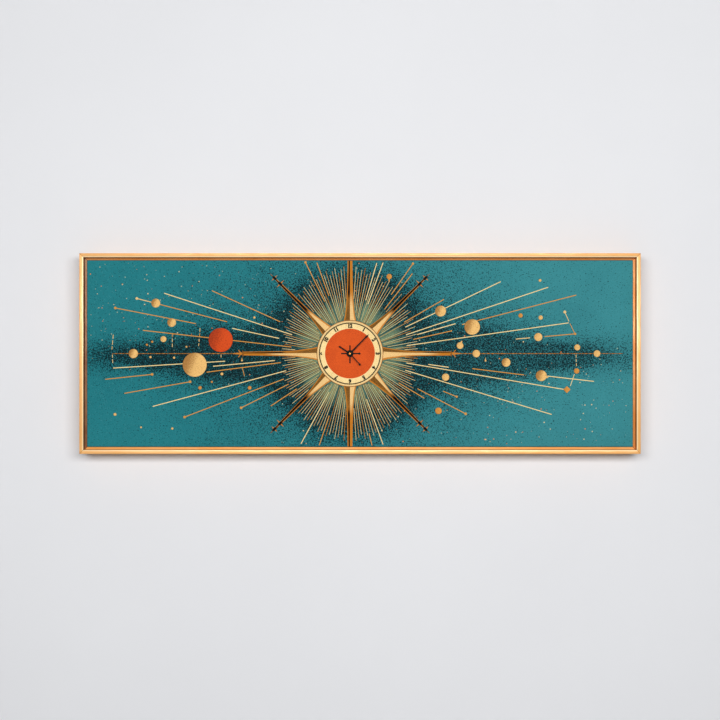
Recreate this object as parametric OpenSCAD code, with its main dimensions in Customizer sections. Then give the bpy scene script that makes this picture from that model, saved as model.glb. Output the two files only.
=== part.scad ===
// Sunburst wall clock in a gilt float frame.
// The wall is the plane y = 0 and the clock faces -Y. X runs along the width and Z runs up.
// The origin is the middle of the wall plane. Most pieces are outlines in X and Z, and
// their thickness is given as two distances off the wall.

/* [Frame] */
// Overall width of the frame
frame_w = 948; // [900:1:1000]
// Overall height of the frame
frame_h = 339; // [330:1:360]
// Width of the rail's front face
face_w = 7; // [6:0.5:9]
// Depth of the rails, front to back
rail_depth = 48.5; // [48:0.5:56]
// Distance the ledge reaches in from the frame's outside
ledge_w = 28.5; // [27:0.5:30]
// Thickness of the ledge behind the panel
ledge_t = 6; // [5:0.5:8]
// Open gap between the rails and the panel
float_gap = 4.5; // [4:0.5:6]
// Room between the step inside the rails and the panel
step_room = 0.5; // [0.3:0.1:1]
// How far the step lies behind the front of the canvas
step_drop = 4; // [3:0.5:8]
// Thickness of the rubber bumpers on the back
bumper_t = 3; // [3:0.5:5]

/* [Panel] */
// Width of a stretcher bar
bar_w = 35; // [34:1:40]
// Depth of a stretcher bar
bar_t = 32; // [32:1:36]
// Thickness of the canvas
canvas_t = 0.6; // [0.4:0.1:1]
// Width of canvas folded on to the back of the bars
fold_w = 20; // [18:0.5:20]
// Distance from the arbor to the middle of each cross brace
brace_reach = 90; // [70:1:120]
// Width of a cross brace
brace_w = 30; // [20:1:36]
// Thickness of the board behind the dial
board_t = 3; // [2:0.5:4]

/* [Dial] */
// Distance from the middle of the frame to the arbor, negative to the left
clock_x = -17; // [-40:1:40]
// Outside radius of the bezel
bezel_r = 56.2; // [54:0.1:58]
// Inside radius of the bezel
bezel_in_r = 52.9; // [51:0.1:54]
// Radius of the plain disc inside the chapter ring
disc_r = 42.2; // [38:0.1:44]
// Thickness of the dial plate
dial_t = 1.2; // [1:0.1:1.5]
// Thickness of the chapter ring
chapter_t = 0.6; // [0.4:0.1:0.8]
// Height of the bezel off the canvas
bezel_t = 3; // [2:0.1:3.5]

/* [Hands] */
// Direction of the hour hand, clockwise from twelve
hour_angle = 303.7; // [0:0.1:360]
// Direction of the minute hand, clockwise from twelve
minute_angle = 44.3; // [0:0.1:360]
// Direction of the second hand, clockwise from twelve
second_angle = 138; // [0:0.1:360]
// Length of the hour hand
hour_len = 22.7; // [18:0.1:30]
// Length of the minute hand
minute_len = 46; // [40:0.1:50]
// Length of the second hand
second_len = 26.5; // [20:0.1:40]
// Thickness of a hand's sheet metal
hand_t = 0.5; // [0.3:0.1:0.6]

/* [Movement] */
// Side of the square movement case
case_side = 56; // [56:1:60]
// Depth of the movement, front to back
case_t = 16; // [16:0.5:18]
// Wall of the movement case
case_wall = 1.5; // [1.2:0.1:1.6]
// Radius of the battery
battery_r = 7.1; // [6.8:0.05:7.15]
// Running clearance round every turning arbor
running = 0.05; // [0.03:0.01:0.08]

/* [Hidden] */
$fn = 96;

// Colours
gilt = "#f0be78";
pale_gilt = "#fbdfa5";
dark_gilt = "#b5752f";
pine = "#d9bd8f";
teal = "#2f7d86";
vermilion = "#d95828";
cream = "#fae0a8";
ink = "#1b1a17";
zinc = "#c3c6c9";
brass = "#cfa24a";
grey_plastic = "#4a4d50";
white_plastic = "#e9e8e2";

// Distances off the wall, from the back to the front
rail_back = bumper_t;
panel_back = rail_back + ledge_t;
bar_back = panel_back + canvas_t;
bar_front = bar_back + bar_t;
canvas_front = bar_front + canvas_t;
rail_front = rail_back + rail_depth;
board_back = bar_front - board_t;
dial_front = canvas_front + dial_t;

// The panel and its bars
panel_w = frame_w - 2 * (face_w + float_gap);
panel_h = frame_h - 2 * (face_w + float_gap);
bars_w = panel_w - 2 * canvas_t;
bars_h = panel_h - 2 * canvas_t;
bay_h = bars_h - 2 * bar_w;
brace_t = 20;

// The hand stack, in front of the dial
cross_t = 0.5;
washer_t = 0.4;
nut_t = 1.6;
washer_front = dial_front + cross_t + washer_t;
nut_front = washer_front + nut_t;
bush_front = nut_front + 0.3;
hour_back = bush_front + 0.3;
minute_back = hour_back + hand_t + 0.8;
second_back = minute_back + hand_t + 0.8;
tube_proud = 0.2;
cap_r = 1.5;

// Radii on the arbor, from the inside out
arbor_r = 0.5;
minute_tube_r = 1.5;
hour_tube_r = 2.5;
bush_r = 4;
bush_hole_r = bush_r + 0.1;

// Layers of the movement, as distances behind the front of its case
rubber_t = 1;
case_front = board_back - rubber_t;
inside = case_side / 2 - case_wall;
flange_layer = [case_wall, case_wall + 0.6];
hour_layer = [2.4, 3.4];
setting_layer = [4, 4.8];
centre_layer = [5.8, 6.4];
plate_layer = [6.7, 7.3];
third_layer = [7.6, 8.2];
second_layer = [9.2, 9.8];
idler_layer = [11, 11.6];
magnet_layer = [12.4, 13.6];
stator_layer = [12.5, 13.3];
core_layer = [11.7, 12.5];
cover_layer = [case_t - case_wall, case_t];
front_pivot = case_wall - 0.8;
back_pivot = cover_layer[0] + 0.8;
pinion_proud = 0.2;
pivot_r = 0.3;
setting_r = 0.6;

// The battery bay is below the train
bay_top = -11;
divider_top = -10;
battery_z = (bay_top - inside) / 2;
battery_len = 49.2;

// Gears: teeth, tooth size and the distance between their arbors
train_gap = 7.6;
idler_gap = 7.2;
rotor_gap = 7;
motion_gap = 8.4;
pinion_teeth = 8;
centre_teeth = 60;
third_teeth = 64;
second_teeth = 40;
idler_teeth = 48;
minute_teeth = 12;
setting_teeth = 36;
setting_pinion_teeth = 10;
hour_teeth = 40;
tooth_tip = 0.65;
tooth_root = 1.05;
tooth_base = 0.26;
tooth_crest = 0.09;

// Arbor directions from the centre arbor, anticlockwise from +X
third_dir = 135;
idler_dir = 45;
rotor_dir = 60;
setting_dir = -20;
third_at = train_gap * [cos(third_dir), sin(third_dir)];
idler_at = idler_gap * [cos(idler_dir), sin(idler_dir)];
rotor_at = idler_at + rotor_gap * [cos(rotor_dir), sin(rotor_dir)];
setting_at = motion_gap * [cos(setting_dir), sin(setting_dir)];

// Fasteners and hangers
panel_screw_r = 1.75;
panel_screw_bite = 14;
panel_screw_z = panel_h / 2 - 8.5;
panel_screw_x = panel_w / 2 - 8.5;
panel_screw_spots = concat(
    [for (x = [-330, 0, 330], side = [-1, 1]) [x, side * panel_screw_z]],
    [for (side = [-1, 1]) [side * panel_screw_x, 0]]
);
short_screw_r = 1.5;
bracket_leg = 45;
bracket_w = 14;
bracket_t = 1.2;
bracket_inset = 5;
bracket_holes = [20, 37];
strap_x = bars_w / 2 - bar_w + 6.8;
strap_z = 75;
strap_w = 10;
strap_len = 24;
strap_t = 1;
eye_r = 2.1;
ring_wire_r = 1;
ring_reach = 8;
ring_leg = 4;
strap_holes = [6, 18];
staple_w = 10;
bumper_r = 5;

// Sunburst: a station on a main ray is its distance from the arbor, half width and height
ray_start = bezel_r + 0.6;
upright_stations = [
    [ray_start, 10.4, 2.8], [64, 8.6, 2.5], [76, 7.1, 2.2], [90, 5.9, 2], [106, 5.2, 1.8],
    [130, 4.5, 1.5], [panel_h / 2 - canvas_t, 4.2, 1.2]
];
level_stations = [
    [ray_start, 11.3, 2.8], [64, 9.3, 2.6], [76, 7.5, 2.3], [92, 5.3, 2], [112, 4.2, 1.8],
    [144, 3.6, 1.5], [168, 3.3, 1.2]
];
level_reach = 3.1;
diagonal_stations = [
    [ray_start, 10.2, 2.8], [64, 8.3, 2.6], [78, 6.1, 2.3], [90, 4.3, 2], [104, 3.2, 1.8],
    [130, 2.7, 1.5], [162, 2.1, 1.3], [180, 1.3, 1.1], [191, 0.3, 0.6]
];
relief_t = 0.8;

// Fine rays: 19 in each eighth of the circle
fine_count = 19;
fine_step = 2.05;
fine_start = 57;
fine_t = 0.5;
fine_room = 1.2;

// Long rays: direction clockwise from twelve, first radius, last radius, and the radius
// of the bead on the inner and the outer end
long_rays_list = [
    [294.5, 130, 257, 0, 0], [288, 103, 331, 0, 0], [284.5, 215, 373, 0, 2.2],
    [281, 266, 405, 0, 2.2], [276.4, 100, 353, 0, 0], [282.1, 123, 204, 0, 0],
    [266.5, 212, 402, 0, 0], [264, 337, 417, 2.2, 0], [260, 275, 388, 2.2, 0],
    [255, 112, 346, 0, 0], [249, 120, 300, 0, 2.2], [243.5, 116, 206, 0, 2.2],
    [262.6, 118, 245, 0, 0], [264.7, 128, 233, 0, 0], [236.5, 108, 161, 0, 0],
    [64.5, 104, 283, 0, 0], [60, 106, 184, 0, 0], [71.5, 100, 354, 0, 0],
    [74.2, 118, 186, 0, 0], [77.4, 110, 176, 0, 1.3],
    [75.5, 196, 396, 0, 0], [82, 97, 374, 0, 0], [85, 282, 306, 0, 0],
    [85, 331, 383, 0, 1.9], [96.5, 337, 416, 0, 0], [99.5, 97, 367, 0, 0],
    [97.9, 134, 169, 0, 0], [106.8, 98, 357, 0, 0], [97, 209, 297, 0, 0], [117.5, 129, 221, 0, 2.2],
    [112, 170, 195, 0, 1.9], [121, 96, 147, 0, 0],
    [334, 98, 172, 0, 2], [340, 104, 164, 0, 0], [16.5, 94, 160, 0, 0],
    [20, 89, 164, 0, 0], [35, 122, 186, 0, 2], [38, 95, 172, 0, 0],
    [208.5, 74, 174, 0, 0], [198.5, 111, 164, 0, 0], [166.5, 139, 160, 0, 0],
    [160, 82, 164, 0, 0]
];
long_w = 1.4;

// The level spears beyond the arrow heads
spear_reach = [403, 462];
spear_from = [196, 186];
prong_len = 8;
prong_w = 1.3;

// Short bars between the rays, from one X and Z to another
link_list = [
    [-418, 32, -418.6, 25], [-419, 22.5, -419.5, 15], [-419.8, 12.5, -420.3, 7],
    [-419.6, -1.8, -419.2, -7], [-419.2, -9.5, -418.8, -16],
    [-318, 34, -318, 28], [-318, 25.5, -318, 19.5], [-318, 17, -318, 11],
    [-271, 43, -271.3, 37], [-271.5, 34.5, -272, 28], [-272.3, 25, -272.6, 20],
    [-273, 17.5, -273.4, 13], [-235.5, -1.6, -235.3, -6.5], [-199.6, -23, -195.7, -38.2],
    [347.5, 69, 354, 54.5], [355.7, 51, 363.6, 34.5], [363.2, -34.8, 356.3, -55],
    [366, -1.8, 366.1, -7], [366.2, -9.5, 366.3, -14], [366.4, -16.5, 366.6, -21]
];
link_w = 1;
link_bead = [347, 70.5, 2.4];

// Discs: X, Z and radius, then the direction and reach of a tail where there is one
gold_disc_list = [
    [-280, -19, 20.4], [-200, -11.5, 1.7, 0, 5], [212.6, -12, 1.6, 0, 5.5], [-346, 85.5, 7.6],
    [-319, 52.5, 7.4], [-333, 24.5, 5.1], [-384, 0, 7.9],
    [136.5, 72, 9.3], [190, 45, 13.2], [302, 28, 6.9], [368, 10.5, 5.1], [197, 0, 6.4],
    [401.5, 0, 5.7], [169.5, 13.5, 5.7, 22, 8.6], [247.5, -15, 7.4], [307, -37.5, 9.3, 103, 12],
    [367, -29.5, 4.6], [145, -40, 6.2], [133, -97, 5.6],
    [49.5, 130.5, 4.6, 183, 8.5], [272, 64.5, 3.7], [306, 61, 3.7], [305, 124, 2.4],
    [-352, 20, 1.9], [-355, -6, 2], [-315, -7, 2], [-294, 11.5, 1.6], [-234, -34.5, 2.5],
    [-271, -58, 3], [-251, -48, 1.8], [-179, 61, 2], [-415, -103, 2.5], [-371, -125, 1.6],
    [-318, -127, 2], [-361, 15, 1.9], [-187, -58, 3.2]
];
orange_disc_list = [[-236, 23, 20.4]];
disc_t = 1.6;

// One small piece is a square on its corner.
diamond_spot = [350.5, -61];
diamond_r = 6;

// ---- Helpers ----

// An outline in X and Z, from one distance off the wall to another.
module plate(back, front) {
    translate([0, -back, 0]) rotate([90, 0, 0]) linear_extrude(front - back) children();
}

// An outline on the arbor, between two distances behind the front of the movement case.
module layer(span, at = [0, 0]) {
    translate([clock_x + at[0], 0, at[1]])
        plate(case_front - span[1], case_front - span[0]) children();
}

// A round bar along Y, between two distances off the wall.
module bar_y(r, back, front) {
    plate(back, front) circle(r);
}

module on_arbor() {
    translate([clock_x, 0, 0]) children();
}

module rounded(w, h, r) {
    square([w - 2 * r, h], center = true);
    square([w, h - 2 * r], center = true);
    for (x = [-1, 1], y = [-1, 1]) translate([x * (w / 2 - r), y * (h / 2 - r)]) circle(r);
}

module ring(outer, inner) {
    difference() {
        circle(outer);
        circle(inner);
    }
}

// A gear's outline, its first tooth pointing at the angle phase.
module gear(teeth, size, phase) {
    r = teeth * size / 2;
    corners = [
        [r - tooth_root * size, -tooth_base], [r + tooth_tip * size, -tooth_crest],
        [r + tooth_tip * size, tooth_crest], [r - tooth_root * size, tooth_base]
    ];
    polygon([
        for (i = [0 : teeth - 1], c = corners)
            let (a = phase + (i + c[1]) * 360 / teeth) c[0] * [cos(a), sin(a)]
    ]);
}

// The driving gear of a pair has a tooth on the line between the two arbors.
module driver(teeth, mate_teeth, gap, dir) {
    gear(teeth, 2 * gap / (teeth + mate_teeth), dir);
}

// The driven gear has a space there. The direction is still from the driver to it.
module driven(teeth, mate_teeth, gap, dir) {
    gear(teeth, 2 * gap / (teeth + mate_teeth), dir + 180 + 180 / teeth);
}

// ---- Frame ----

// One side of the frame seen from the front: its ends are mitred.
module side_outline(w, h, width) {
    polygon([[-w / 2, h / 2], [w / 2, h / 2], [w / 2 - width, h / 2 - width],
        [width - w / 2, h / 2 - width]]);
}

module panel_screw_holes() {
    for (spot = panel_screw_spots) translate(spot) circle(panel_screw_r);
}

// A rail along the top of a frame w wide and h high, turned to its own side.
module rail(w, h, turn) {
    color(gilt) difference() {
        rotate([0, turn, 0]) {
            plate(rail_back, rail_front) side_outline(w, h, face_w);
            plate(rail_back, canvas_front - step_drop)
                side_outline(w, h, face_w + float_gap - step_room);
            plate(rail_back, panel_back) side_outline(w, h, ledge_w);
        }
        plate(rail_back - 1, panel_back + 1) panel_screw_holes();
        bracket_screw_holes();
    }
}

module rail_top() { rail(frame_w, frame_h, 0); }
module rail_bottom() { rail(frame_w, frame_h, 180); }
module rail_left() { rail(frame_h, frame_w, -90); }
module rail_right() { rail(frame_h, frame_w, 90); }

// Puts a drawing made for the lower left corner of the frame into all four corners.
module in_corners() {
    for (x = [0, 1], z = [0, 1]) mirror([x, 0]) mirror([0, z])
        translate([-frame_w / 2, -frame_h / 2]) children();
}

module bracket_hole_row() {
    for (d = bracket_holes, swap = [0, 1])
        translate(swap == 0 ? [d, bracket_inset + bracket_w / 2]
            : [bracket_inset + bracket_w / 2, d])
            children();
}

module bracket_screw_holes() {
    plate(rail_back - 1, panel_back - 1) in_corners() bracket_hole_row() circle(short_screw_r);
}

module corner_brackets() {
    color(zinc) plate(rail_back - bracket_t, rail_back) in_corners() difference() {
        translate([bracket_inset, bracket_inset]) {
            square([bracket_leg, bracket_w]);
            square([bracket_w, bracket_leg]);
        }
        bracket_hole_row() circle(short_screw_r);
    }
}

// A pan-headed screw along Y: its head sits behind the distance seat.
module screw(seat, length, r, head_r, head_t) {
    bar_y(head_r, seat - head_t, seat);
    bar_y(r, seat, seat + length);
}

module short_screws() {
    color(zinc) {
        for (x = [0, 1], z = [0, 1]) mirror([x, 0, 0]) mirror([0, 0, z])
            translate([-frame_w / 2, 0, -frame_h / 2])
                for (d = bracket_holes, swap = [0, 1])
                    translate(swap == 0 ? [d, 0, bracket_inset + bracket_w / 2]
                        : [bracket_inset + bracket_w / 2, 0, d])
                        screw(rail_back - bracket_t, bracket_t + 4, short_screw_r, 2.8, 0.8);
        for (side = [-1, 1], d = strap_holes) translate([side * strap_x, 0, strap_z - d])
            screw(bar_back - strap_t, strap_t + 12, short_screw_r, 2.6, 1);
    }
}

module panel_screws() {
    color(zinc) for (spot = panel_screw_spots) translate([spot[0], 0, spot[1]])
        screw(rail_back, ledge_t + panel_screw_bite, panel_screw_r, 3.4, 1);
}

module wall_bumpers() {
    color(ink) for (x = [-1, 1], z = [-1, 1])
        translate([x * (frame_w / 2 - 75), 0, z * (frame_h / 2 - 12)])
            bar_y(bumper_r, 0, bumper_t);
}

// ---- Panel ----

// A stretcher bar along the top of a panel w wide and h high, turned to its own side.
module bar(w, h, turn) {
    color(pine) difference() {
        rotate([0, turn, 0]) plate(bar_back, bar_front) side_outline(w, h, bar_w);
        plate(bar_back - 1, rail_back + ledge_t + panel_screw_bite) panel_screw_holes();
        for (side = [-1, 1], d = strap_holes) translate([side * strap_x, 0, strap_z - d])
            bar_y(short_screw_r, bar_back - 1, bar_back + 12);
    }
}

module bar_top() { bar(bars_w, bars_h, 0); }
module bar_bottom() { bar(bars_w, bars_h, 180); }
module bar_left() { bar(bars_h, bars_w, -90); }
module bar_right() { bar(bars_h, bars_w, 90); }

module cross_braces() {
    color(pine) on_arbor() for (side = [-1, 1]) translate([side * brace_reach, 0, 0])
        plate(board_back - brace_t, board_back) square([brace_w, bay_h], center = true);
}

module movement_board() {
    color("#a9713d") on_arbor() plate(board_back, bar_front) difference() {
        square([2 * brace_reach + brace_w, bay_h], center = true);
        circle(bush_hole_r);
    }
}

// The cloth covers the front, wraps the sides and folds on to the back of the bars.
module canvas() {
    color(teal) {
        plate(panel_back, bar_back) difference() {
            square([panel_w, panel_h], center = true);
            square([panel_w - 2 * fold_w, panel_h - 2 * fold_w], center = true);
            panel_screw_holes();
        }
        plate(bar_back, bar_front) difference() {
            square([panel_w, panel_h], center = true);
            square([bars_w, bars_h], center = true);
        }
        plate(bar_front, canvas_front) difference() {
            square([panel_w, panel_h], center = true);
            translate([clock_x, 0]) circle(bush_hole_r);
        }
    }
}

// A staple lying on the fold, its crown along X and its legs in the bar.
module staple() {
    plate(panel_back - 0.5, panel_back) square([staple_w, 1.2], center = true);
    for (side = [-1, 1]) translate([side * (staple_w - 0.7) / 2, 0, 0])
        plate(panel_back, panel_back + 7) square([0.7, 1.2], center = true);
}

module canvas_staples() {
    row_z = panel_h / 2 - fold_w + 2;
    row_x = panel_w / 2 - fold_w + 2;
    color(zinc) {
        for (x = [-390 : 60 : 390], side = [-1, 1]) translate([x, 0, side * row_z]) staple();
        for (z = [-100, -50, 0, 50, 110], side = [-1, 1])
            translate([side * row_x, 0, z]) rotate([0, 90, 0]) staple();
    }
}

// ---- Hangers ----

module hanger_straps() {
    color(zinc) for (side = [-1, 1]) translate([side * strap_x, 0, strap_z]) difference() {
        union() {
            translate([0, eye_r - bar_back, 0]) rotate([0, 90, 0])
                cylinder(h = strap_w, r = eye_r, center = true);
            plate(bar_back - strap_t, bar_back) translate([-strap_w / 2, -strap_len])
                square([strap_w, strap_len]);
        }
        translate([0, eye_r - bar_back, 0]) rotate([0, 90, 0])
            cylinder(h = strap_w + 1, r = ring_wire_r + 0.08, center = true);
        for (d = strap_holes) translate([0, 0, -d])
            bar_y(short_screw_r, bar_back - 2, bar_back + 1);
    }
}

// The ring's straight side turns in the eye. It points up, as on its wall hook.
module d_ring(side) {
    color(zinc) translate([side * strap_x, eye_r - bar_back, strap_z]) {
        rotate([0, 90, 0]) cylinder(h = 2 * ring_reach, r = ring_wire_r, center = true);
        for (x = [-ring_reach, ring_reach]) translate([x, 0, 0]) {
            sphere(ring_wire_r);
            cylinder(h = ring_leg, r = ring_wire_r);
        }
        translate([0, 0, ring_leg]) rotate([90, 0, 0]) rotate_extrude(angle = 180)
            translate([ring_reach, 0]) circle(ring_wire_r);
    }
}

module d_ring_left() { d_ring(-1); }
module d_ring_right() { d_ring(1); }

// ---- Dial ----

module dial_plate() {
    color(vermilion) on_arbor() plate(canvas_front, dial_front) ring(bezel_in_r, bush_hole_r);
}

module chapter_ring() {
    color(cream) on_arbor() plate(dial_front, dial_front + chapter_t) ring(bezel_in_r, disc_r);
}

// The bezel's top is a half round standing on a square foot.
module bezel() {
    half = (bezel_r - bezel_in_r) / 2;
    color(pale_gilt) translate([clock_x, -canvas_front, 0]) rotate([90, 0, 0]) rotate_extrude() {
        translate([bezel_in_r, 0]) square([2 * half, bezel_t - half]);
        intersection() {
            translate([bezel_in_r + half, bezel_t - half]) circle(half);
            translate([bezel_in_r, bezel_t - half]) square([2 * half, half]);
        }
    }
}

// Four arms round the nut. The right one ends in a ball.
module dial_cross() {
    arm_w = 2.2;
    arms = [[90, 14], [180, 15], [0, 16], [270, 16.5]];
    color(ink) on_arbor() plate(dial_front, dial_front + cross_t) difference() {
        union() {
            circle(6);
            for (arm = arms) rotate(arm[0]) translate([0, -arm_w / 2]) square([arm[1], arm_w]);
            translate([arms[2][1], 0]) circle(1.9);
        }
        circle(bush_hole_r);
    }
}

module dial_washer() {
    color(ink) on_arbor() plate(dial_front + cross_t, washer_front) ring(5.8, bush_r);
}

module dial_nut() {
    color(ink) on_arbor() plate(washer_front, nut_front) difference() {
        circle(5.5, $fn = 6);
        circle(bush_r);
    }
}

// ---- Sunburst ----

// A point on a ray at angle a: along it, to its right and above the canvas.
function ray_point(a, along, across, rise) = [
    clock_x + along * sin(a) + across * cos(a),
    -canvas_front - rise,
    along * cos(a) - across * sin(a)
];

// A ridged ray through its stations: each has a left foot, a ridge and a right foot.
// The feet of its inner end are set back to follow the bezel.
// The ridge leans aside by that share of the half width.
module ridged_ray(a, stations, lean) {
    last = len(stations) - 1;
    set_back = bezel_r - sqrt(pow(bezel_r, 2) - pow(stations[0][1], 2));
    points = [
        for (i = [0 : last]) let (s = stations[i], foot = s[0] - (i == 0 ? set_back : 0)) each [
            ray_point(a, foot, -s[1], 0), ray_point(a, s[0], lean * s[1], s[2]),
            ray_point(a, foot, s[1], 0)
        ]
    ];
    sides = [
        for (i = [0 : last - 1], side = [0 : i == 0 ? 1 : 2])
            let (here = 3 * i + side, beside = 3 * i + (side + 1) % 3)
            each [[here, here + 3, beside + 3], [here, beside + 3, beside]]
    ];
    middle = 3 * last + 3;
    inner = [[0, 1, middle], [1, 2, middle], [middle, 2, 5], [middle, 5, 3], [middle, 3, 0]];
    polyhedron(
        concat(points, [ray_point(a, stations[0][0], lean * stations[0][1], 0)]),
        concat(sides, inner, [[3 * last + 2, 3 * last + 1, 3 * last]])
    );
}

// Everything that crosses a disc stops at its edge.
module disc_holes() {
    for (spot = concat(gold_disc_list, orange_disc_list)) {
        translate([spot[0], spot[1]]) circle(spot[2]);
        tail(spot);
    }
    diamond();
}

// The thin tail some discs have.
module tail(spot) {
    if (len(spot) > 3) translate([spot[0], spot[1]]) rotate(-spot[3])
        polygon([
            [-spot[2] * 0.5, 0], [spot[2] * 0.5, 0],
            [spot[2] * 0.12, spot[4]], [-spot[2] * 0.12, spot[4]]
        ]);
}

module diamond() {
    translate(diamond_spot) rotate(45) square(diamond_r * sqrt(2), center = true);
}

// A flat lozenge across the ray, at a distance from the arbor.
module lozenge(a, along, half_len, half_w) {
    on_arbor() plate(canvas_front, canvas_front + relief_t) rotate(-a)
        polygon([[0, along - half_len], [half_w, along], [0, along + half_len], [-half_w, along]]);
}

module upright_ray(a) {
    color(gilt) ridged_ray(a, upright_stations, 0);
}

// A level ray carries a pronged head and a thin spear on towards the frame.
module level_ray(a, from, reach, lean) {
    tip = from - 14;
    color(gilt) {
        ridged_ray(a, concat(level_stations, [[tip, level_reach, 1]]), lean);
        plate(canvas_front, canvas_front + relief_t) difference() {
            translate([clock_x, 0]) rotate(-a) {
                polygon([[-2.2, tip - 2], [2.2, tip - 2], [0.9, from], [-0.9, from]]);
                polygon([[-0.7, from - 2], [0.7, from - 2], [0.45, reach], [-0.45, reach]]);
                translate([-5, tip - 1]) square([10, prong_w]);
                for (side = [-1, 1]) translate([0, tip + 2]) rotate(side * 50)
                    translate([-prong_w / 2, 0]) square([prong_w, prong_len]);
            }
            disc_holes();
        }
    }
}

// A diagonal ray carries two lozenges with barbs near its tip.
module diagonal_ray(a, lean) {
    color(gilt) {
        ridged_ray(a, diagonal_stations, lean);
        for (barb = [[167, 9], [181, 7]]) {
            lozenge(a, barb[0], 5.5, 3.4);
            lozenge(a, barb[0], 1.5, barb[1]);
        }
    }
}

module ray_north() { upright_ray(0); }
module ray_northeast() { diagonal_ray(45, -0.3); }
module ray_east() { level_ray(90, spear_from[1], spear_reach[1], -0.3); }
module ray_southeast() { diagonal_ray(135, -0.2); }
module ray_south() { upright_ray(180); }
module ray_southwest() { diagonal_ray(225, 0.25); }
module ray_west() { level_ray(270, spear_from[0], spear_reach[0], 0.1); }
module ray_northwest() { diagonal_ray(315, -0.25); }

// A fine ray starts further out beside a main ray. It reaches furthest beside the uprights,
// and its neighbours step in threes.
function fine_from(i) = fine_start + 36 * exp(-min(i, fine_count - 1 - i) / 1.9);
function fine_reach(a, i) = 115 + 33 * pow(cos(a), 2) - [0, 9, 4][i % 3];

// A long ray that starts among the fine rays takes the place of the nearest ones.
function fine_taken(a, reach) = len([
    for (ray = long_rays_list) if (ray[1] < reach && abs(ray[0] - a) < fine_room) ray
]) > 0;

module fine_rays() {
    color(pale_gilt) plate(canvas_front, canvas_front + fine_t) difference() {
        on_arbor() for (eighth = [0 : 7], i = [0 : fine_count - 1]) {
            a = 45 * (eighth + 0.5) + fine_step * (i - (fine_count - 1) / 2);
            from = fine_from(i);
            reach = fine_reach(a, i);
            if (!fine_taken(a, reach)) rotate(-a)
                polygon([[-0.55, from], [0.55, from], [0.3, reach], [-0.3, reach]]);
        }
        disc_holes();
    }
}

module long_rays() {
    color(dark_gilt) plate(canvas_front, canvas_front + relief_t) difference() {
        union() {
            translate([clock_x, 0]) for (ray = long_rays_list) rotate(-ray[0]) {
                translate([-long_w / 2, ray[1]]) square([long_w, ray[2] - ray[1]]);
                if (ray[3] > 0) translate([0, ray[1]]) circle(ray[3]);
                if (ray[4] > 0) translate([0, ray[2]]) circle(ray[4]);
            }
            for (link = link_list) let (run = [link[2] - link[0], link[3] - link[1]])
                translate([link[0], link[1]]) rotate(atan2(run[1], run[0]))
                    translate([0, -link_w / 2]) square([norm(run), link_w]);
            translate([link_bead[0], link_bead[1]]) circle(link_bead[2]);
        }
        disc_holes();
    }
}

// A disc with a domed edge, standing on the canvas.
module disc(spot) {
    edge = min(spot[2] / 3, 0.7);
    translate([spot[0], -canvas_front, spot[1]]) rotate([90, 0, 0]) {
        cylinder(h = disc_t - edge, r = spot[2]);
        translate([0, 0, disc_t - edge]) rotate_extrude() {
            square([spot[2] - edge, edge]);
            translate([spot[2] - edge, 0]) intersection() {
                circle(edge);
                square(edge);
            }
        }
    }
}

module gold_discs() {
    color(pale_gilt) {
        for (spot = gold_disc_list) disc(spot);
        plate(canvas_front, canvas_front + relief_t) for (spot = gold_disc_list) tail(spot);
        plate(canvas_front, canvas_front + disc_t) diamond();
    }
}

module orange_discs() { color(vermilion) for (spot = orange_disc_list) disc(spot); }

// ---- Movement ----

module train_cavity() {
    translate([-inside, divider_top]) square([2 * inside, inside - divider_top]);
}

module battery_bay() {
    translate([-inside, -inside]) square([2 * inside, bay_top + inside]);
}

module movement_case() {
    color(grey_plastic) difference() {
        layer([0, cover_layer[0]]) rounded(case_side, case_side, 3);
        layer([case_wall, case_t]) train_cavity();
        layer([case_wall, case_t]) battery_bay();
        layer([-1, case_t]) circle(bush_r);
        layer([front_pivot - 0.1, case_t], third_at) circle(pivot_r + running);
        layer([front_pivot - 0.1, case_t], setting_at) circle(setting_r + running);
    }
}

module movement_cover() {
    color(white_plastic) difference() {
        layer(cover_layer) rounded(case_side, case_side, 3);
        layer([0, case_t + 1]) battery_bay();
        layer([0, back_pivot + 0.1]) circle(arbor_r + running);
        for (at = [third_at, idler_at, rotor_at])
            layer([0, back_pivot + 0.1], at) circle(pivot_r + running);
        layer([0, case_t + 1], setting_at) circle(setting_r + running);
    }
}

module threaded_bush() {
    color(brass) {
        layer(flange_layer) ring(6, hour_tube_r + running);
        on_arbor() plate(case_front - case_wall, bush_front) ring(bush_r, hour_tube_r + running);
    }
}

module rubber_washer() {
    color(ink) on_arbor() plate(case_front, board_back) ring(10, bush_r);
}

module train_plate() {
    color(white_plastic) layer(plate_layer) difference() {
        translate([-inside, divider_top]) square([2 * inside, 30]);
        circle(arbor_r + running);
        for (at = [third_at, idler_at, rotor_at]) translate(at) circle(pivot_r + running);
        translate(setting_at) circle(setting_r + running);
    }
}

// The board carries the crystal's can and the sealed chip.
module circuit_board() {
    board_span = [12.2, 13];
    color("#2f6b3c") {
        layer(board_span, [-14, 20]) square([20, 11], center = true);
        layer([board_span[0] - 0.8, board_span[0]], [-18, 20]) circle(3);
        translate([clock_x - 12, board_span[0] - 0.8 - case_front, 22.5])
            rotate([0, 90, 0]) cylinder(h = 6, r = 1);
    }
}

// The plate closes round the magnet, and the core bridges its two legs.
module stator() {
    color(zinc) {
        layer(stator_layer) difference() {
            union() {
                translate([0, 7.2]) square([19, 7.8]);
                for (x = [0, 15]) translate([x, 7.2]) square([4, 16.8]);
            }
            translate(rotor_at) circle(3);
        }
        layer(core_layer) translate([0, 20.5]) square([19, 3]);
    }
}

module coil() {
    color("#b4622d") difference() {
        translate([clock_x + 4.6, (core_layer[0] + core_layer[1]) / 2 - case_front, 22])
            rotate([0, 90, 0]) cylinder(h = 9.8, r = 2.1);
        layer(core_layer) translate([0, 20.5]) square([19, 3]);
    }
}

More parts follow.
